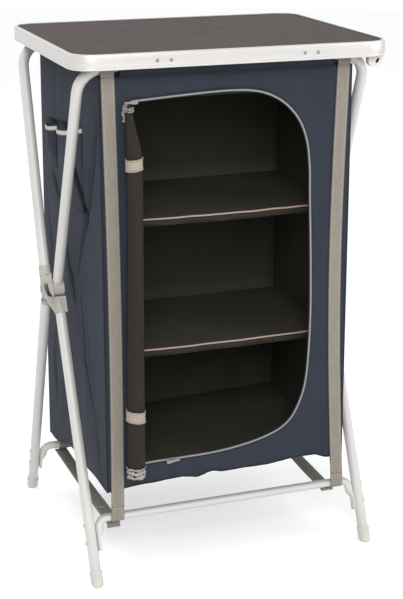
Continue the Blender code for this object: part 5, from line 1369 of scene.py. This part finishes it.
def from_bar_to_bar(made):
    """Frees a bottom strap from its body and bakes its place into its mesh."""
    made.parent = None
    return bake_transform(made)


# Each bottom strap: x of its front and rear ends, how far it hangs at the front, and y of its sewn seam
LOW_STRAPS = {"left": (-0.2295, -0.2325, 0.0100, -0.118), "right": (0.2145, 0.2325, 0.0035, 0.120)}


def make_bottom_straps():
    for hand, (front_x, rear_x, drop, seam_y) in LOW_STRAPS.items():
        z = LOW_BAR_Z - LOW_BAR_RADIUS - 2 * GAP - 1.5 * sizes().web
        near = -LOW_BAR_Y - 0.0005
        path = [(near - 0.0022, z - drop), (near - 0.0018, z - drop * 0.5), (near - 0.0008, z - 0.0008)]
        path += [(lerp(near + 0.001, LOW_BAR_Y, step / 8), z) for step in range(9)]
        spot, length = along_path(path)

        def middle(y):
            return lerp(front_x, rear_x, 0.5 + y / (2 * LOW_BAR_Y))

        def sag(share):
            return LOW_STRAP_SAG * hump(share) ** 0.8

        def place(u, v):
            y, height = spot(v)
            twist = 0.0012 * (2 * u - 1) * math.sin(math.tau * v)
            return Vector((middle(y) + (u - 0.5) * sizes().web_width, y, height - sag(v) + twist))

        def tail(u, v):
            """A pale stitched end across the strap, where it is turned back and sewn."""
            y = seam_y + 0.007 * v
            share = (y - near) / (LOW_BAR_Y - near)
            return Vector((middle(y) + (u - 0.5) * 0.0252, y, z - sag(share) + 0.0012))
        bm = cloth_grid(10, 90, place, (0.025, length), (0, 0, -1))
        made = piece(f"bottom_strap_{hand}_web", bm, "Dark webbing", CORE,
                     [f"bottom_strap_{hand}"], sizes().web, offset=0.0)
        from_bar_to_bar(made)
        made = piece(f"bottom_strap_{hand}_seam", cloth_grid(8, 4, tail, (0.025, 0.006), (0, 0, 1)),
                     "Webbing", CORE, thick=0.0004)
        from_bar_to_bar(made)


# Rigid parts: finishes over the fixed parts, shaded smooth in a merged copy

SHARP_ANGLE = 32.0


def dress(node, finish):
    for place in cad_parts[node].material_slots:
        place.material = finish_named(finish)


def smoothed(node, finish, body):
    """A merged, smoothly shaded copy of a fixed part, standing in its place."""
    bm = bmesh.new()
    bm.from_mesh(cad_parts[node].data)
    bmesh.ops.remove_doubles(bm, verts=bm.verts, dist=2e-6)
    bmesh.ops.dissolve_limit(bm, angle_limit=math.radians(0.5), verts=bm.verts, edges=bm.edges)
    made = piece(f"{node}_finished", bm, finish, body, [node])
    made.data.set_sharp_from_angle(angle=math.radians(SHARP_ANGLE))


def make_tubes():
    for body, near, far in (("rear_frame", "rear", "front"), ("front_frame", "front", "rear")):
        for name in (f"{near}_upper_frame", f"{far}_lower_bar", f"{far}_leg_left", f"{far}_leg_right"):
            smoothed(name, "Powder coat", body)


def make_hardware():
    for part, finish, body in (
        ("front_foot", "Moulded plastic", "rear_frame"),
        ("outer_hinge", "Hinge plastic", "rear_frame"),
        ("rear_foot", "Moulded plastic", "front_frame"),
        ("inner_hinge", "Hinge plastic", "front_frame"),
        ("front_rest", "Moulded plastic", "top"),
        ("rear_saddle", "Moulded plastic", "top"),
    ):
        for hand in ("left", "right"):
            smoothed(f"{part}_{hand}", finish, body)
    smoothed("corner_clip", "Clip plastic", "top")


def make_rivets():
    for end, body in (("front", "rear_frame"), ("rear", "front_frame")):
        for hand in ("left", "right"):
            for number in (1, 2):
                smoothed(f"{end}_leg_rivet_{hand}_{number}", "Pale zinc", body)
    for number in range(1, 5):
        smoothed(f"rim_rivet_{number}", "Plated steel", "top")
    for hand in ("left", "right"):
        smoothed(f"hinge_pin_{hand}", "Plated steel", "rear_frame")


def make_tabletop():
    smoothed("top_rim", "Satin aluminium", "top")
    smoothed("top_board", "Laminate", "top")


# Stage

LENS, SENSOR = 89.52, 36.0
CAMERA_PLACE = (-0.96213, -2.64727, 1.35674)
CAMERA_RIGHT = (0.93834517, -0.34568795, 0.00286105)
CAMERA_UP = (0.10202154, 0.2848187, 0.95313688)
CAMERA_BACK = (-0.33030281, -0.8940795, 0.30252587)


def make_camera():
    data = bpy.data.cameras.new("Photograph's view")
    data.sensor_width = SENSOR
    data.lens = LENS
    camera = bpy.data.objects.new("Photograph's view", data)
    bpy.context.scene.collection.objects.link(camera)
    turn = Matrix(list(zip(CAMERA_RIGHT, CAMERA_UP, CAMERA_BACK)))
    camera.matrix_world = Matrix.Translation(CAMERA_PLACE) @ turn.to_4x4()
    bpy.context.scene.camera = camera


def white_where_seen(tree, plain, white):
    """Mixes a plain shader with white for what the camera, gloss and glass see."""
    rays = add_node(tree, "LightPath").outputs
    seen = add_node(tree, "Math", rays["Is Camera Ray"], rays["Is Glossy Ray"], operation="MAXIMUM")
    seen = add_node(tree, "Math", seen.outputs[0], rays["Is Transmission Ray"], operation="MAXIMUM")
    return add_node(tree, "MixShader", seen.outputs[0], plain, white).outputs[0]


def make_world():
    world = bpy.data.worlds.new("Pale studio")
    world.use_nodes = True
    tree = world.node_tree
    tree.nodes.clear()
    soft = add_node(tree, "Background", (0.97, 0.985, 1.0, 1.0), 0.62)
    white = add_node(tree, "Background", (1.0, 1.0, 1.0, 1.0), 1.0)
    add_node(tree, "OutputWorld", white_where_seen(tree, soft.outputs[0], white.outputs[0]))
    bpy.context.scene.world = world


def make_ground():
    """A round floor that keeps the shadows and is lifted towards white only where it is seen."""
    finish = Finish("Pale floor", (0.84, 0.84, 0.84), 0.9, specular=0.1)
    material, tree = finish.done(), finish.tree
    black, white = (add_node(tree, "Emission", (1.0, 1.0, 1.0, 1.0), power) for power in (0.0, 0.44))
    lift = white_where_seen(tree, black.outputs[0], white.outputs[0])
    total = add_node(tree, "AddShader", finish.shader.outputs[0], lift)
    tree.links.new(total.outputs[0], tree.nodes["Material Output"].inputs["Surface"])
    bm = bmesh.new()
    bmesh.ops.create_circle(bm, cap_ends=True, segments=96, radius=9.0)
    bmesh.ops.translate(bm, vec=(0.0, 0.0, -0.0004), verts=bm.verts)
    mesh = bpy.data.meshes.new("Floor")
    bm.to_mesh(mesh)
    bm.free()
    mesh.materials.append(material)
    ground = bpy.data.objects.new("Floor", mesh)
    bpy.context.scene.collection.objects.link(ground)


LAMP_TARGET = (0.0, 0.0, 0.5)


def make_lamp(name, place, size, power):
    data = bpy.data.lights.new(name, "AREA")
    data.shape = "DISK"
    data.size = size
    data.energy = power
    lamp = bpy.data.objects.new(name, data)
    bpy.context.scene.collection.objects.link(lamp)
    back = (Vector(place) - Vector(LAMP_TARGET)).normalized()
    lamp.matrix_world = Matrix.Translation(place) @ back.to_track_quat("Z", "Y").to_matrix().to_4x4()


def make_stage():
    make_camera()
    make_world()
    make_ground()
    make_lamp("Key", (-1.1, -3.5, 2.5), 1.8, 66.0)
    make_lamp("Fill", (2.9, -1.9, 1.7), 2.4, 30.0)
    make_lamp("Top", (-1.6, 1.0, 3.0), 2.0, 20.0)
    bpy.context.scene.view_settings.view_transform = "Standard"


# Operators, panel and registration

def made_by(*makers):
    for make in makers:
        make()
    return {"FINISHED"}


class CupboardStep:
    """What all the operators share."""
    bl_options = {"REGISTER", "UNDO"}


class CUPBOARD_OT_stage(CupboardStep, bpy.types.Operator):
    """Camera, soft lamps, pale surroundings and floor"""
    bl_idname = "cupboard.stage"
    bl_label = "Stage"

    def execute(self, context):
        return made_by(make_stage)


class CUPBOARD_OT_tabletop(CupboardStep, bpy.types.Operator):
    """Laminated board in its satin aluminium rim"""
    bl_idname = "cupboard.tabletop"
    bl_label = "Top board and rim"

    def execute(self, context):
        return made_by(make_tabletop)


class CUPBOARD_OT_tubes(CupboardStep, bpy.types.Operator):
    """Powder-coated upper frames, legs and lower bars"""
    bl_idname = "cupboard.tubes"
    bl_label = "Frame tubes"

    def execute(self, context):
        return made_by(make_tubes)


class CUPBOARD_OT_hardware(CupboardStep, bpy.types.Operator):
    """Hinges, foot caps, rests and the corner clip"""
    bl_idname = "cupboard.hardware"
    bl_label = "Plastic fittings"

    def execute(self, context):
        return made_by(make_hardware)


class CUPBOARD_OT_rivets(CupboardStep, bpy.types.Operator):
    """Rivets of the rim and legs, and the hinge pins"""
    bl_idname = "cupboard.rivets"
    bl_label = "Rivets and pins"

    def execute(self, context):
        return made_by(make_rivets)


class CUPBOARD_OT_front_cloth(CupboardStep, bpy.types.Operator):
    """Front of the cabinet round the door opening"""
    bl_idname = "cupboard.front_cloth"
    bl_label = "Front cloth"

    def execute(self, context):
        return made_by(make_front_cloth)


class CUPBOARD_OT_side_cloth(CupboardStep, bpy.types.Operator):
    """Creased sides of the cabinet"""
    bl_idname = "cupboard.side_cloth"
    bl_label = "Side cloths"

    def execute(self, context):
        return made_by(make_side_cloth)


class CUPBOARD_OT_back_cloth(CupboardStep, bpy.types.Operator):
    """Back of the cabinet"""
    bl_idname = "cupboard.back_cloth"
    bl_label = "Back cloth"

    def execute(self, context):
        return made_by(make_back_cloth)


class CUPBOARD_OT_roof(CupboardStep, bpy.types.Operator):
    """Roof of the cabinet with its sleeves round the top bars"""
    bl_idname = "cupboard.roof"
    bl_label = "Roof cloth"

    def execute(self, context):
        return made_by(make_roof)


class CUPBOARD_OT_floor_cloth(CupboardStep, bpy.types.Operator):
    """Floor of the cabinet"""
    bl_idname = "cupboard.floor_cloth"
    bl_label = "Floor cloth"

    def execute(self, context):
        return made_by(make_floor)


class CUPBOARD_OT_shelves(CupboardStep, bpy.types.Operator):
    """Two stiffened shelves with piped front edges, the piping pale as a painted highlight"""
    bl_idname = "cupboard.shelves"
    bl_label = "Shelves"

    def execute(self, context):
        return made_by(make_shelves)


class CUPBOARD_OT_pockets(CupboardStep, bpy.types.Operator):
    """Two gathered pockets on the left side"""
    bl_idname = "cupboard.pockets"
    bl_label = "Pockets"

    def execute(self, context):
        return made_by(make_pockets)


class CUPBOARD_OT_door_roll(CupboardStep, bpy.types.Operator):
    """Door cloth rolled up beside the opening, with its ties and loose tape"""
    bl_idname = "cupboard.door_roll"
    bl_label = "Rolled door"

    def execute(self, context):
        return made_by(make_door_roll, make_ties, make_loose_tape)


class CUPBOARD_OT_zip(CupboardStep, bpy.types.Operator):
    """Zip round the opening and its two sliders"""
    bl_idname = "cupboard.zip"
    bl_label = "Zip"

    def execute(self, context):
        return made_by(make_zip)


class CUPBOARD_OT_upright_straps(CupboardStep, bpy.types.Operator):
    """Four straps looped round the top and lower bars"""
    bl_idname = "cupboard.upright_straps"
    bl_label = "Upright straps"

    def execute(self, context):
        return made_by(make_upright_straps)


class CUPBOARD_OT_bottom_straps(CupboardStep, bpy.types.Operator):
    """Two straps under the cabinet with their hanging ends"""
    bl_idname = "cupboard.bottom_straps"
    bl_label = "Bottom straps"

    def execute(self, context):
        return made_by(make_bottom_straps)


OPERATORS = (
    CUPBOARD_OT_stage,
    CUPBOARD_OT_tabletop,
    CUPBOARD_OT_tubes,
    CUPBOARD_OT_hardware,
    CUPBOARD_OT_rivets,
    CUPBOARD_OT_front_cloth,
    CUPBOARD_OT_side_cloth,
    CUPBOARD_OT_back_cloth,
    CUPBOARD_OT_roof,
    CUPBOARD_OT_floor_cloth,
    CUPBOARD_OT_shelves,
    CUPBOARD_OT_pockets,
    CUPBOARD_OT_door_roll,
    CUPBOARD_OT_zip,
    CUPBOARD_OT_upright_straps,
    CUPBOARD_OT_bottom_straps,
)


class CUPBOARD_PT_pieces(bpy.types.Panel):
    """Lists the cupboard's pieces, colours and sizes in the sidebar"""
    bl_idname = "CUPBOARD_PT_pieces"
    bl_label = "Camping cupboard"
    bl_space_type = "VIEW_3D"
    bl_region_type = "UI"
    bl_category = "Cupboard"

    def draw(self, context):
        layout = self.layout
        for operator in OPERATORS:
            layout.operator(operator.bl_idname)
        for group in (context.scene.cupboard_colours, context.scene.cupboard_sizes):
            box = layout.box()
            for name in group.__annotations__:
                box.prop(group, name)


CLASSES = (CupboardColours, CupboardSizes, *OPERATORS, CUPBOARD_PT_pieces)


def register():
    for each in CLASSES:
        bpy.utils.register_class(each)
    bpy.types.Scene.cupboard_colours = PointerProperty(type=CupboardColours)
    bpy.types.Scene.cupboard_sizes = PointerProperty(type=CupboardSizes)


def unregister():
    del bpy.types.Scene.cupboard_sizes
    del bpy.types.Scene.cupboard_colours
    for each in reversed(CLASSES):
        bpy.utils.unregister_class(each)


def main():
    register()
    for operator in OPERATORS:
        group, name = operator.bl_idname.split(".")
        getattr(getattr(bpy.ops, group), name)()


if __name__ == "__main__":
    main()
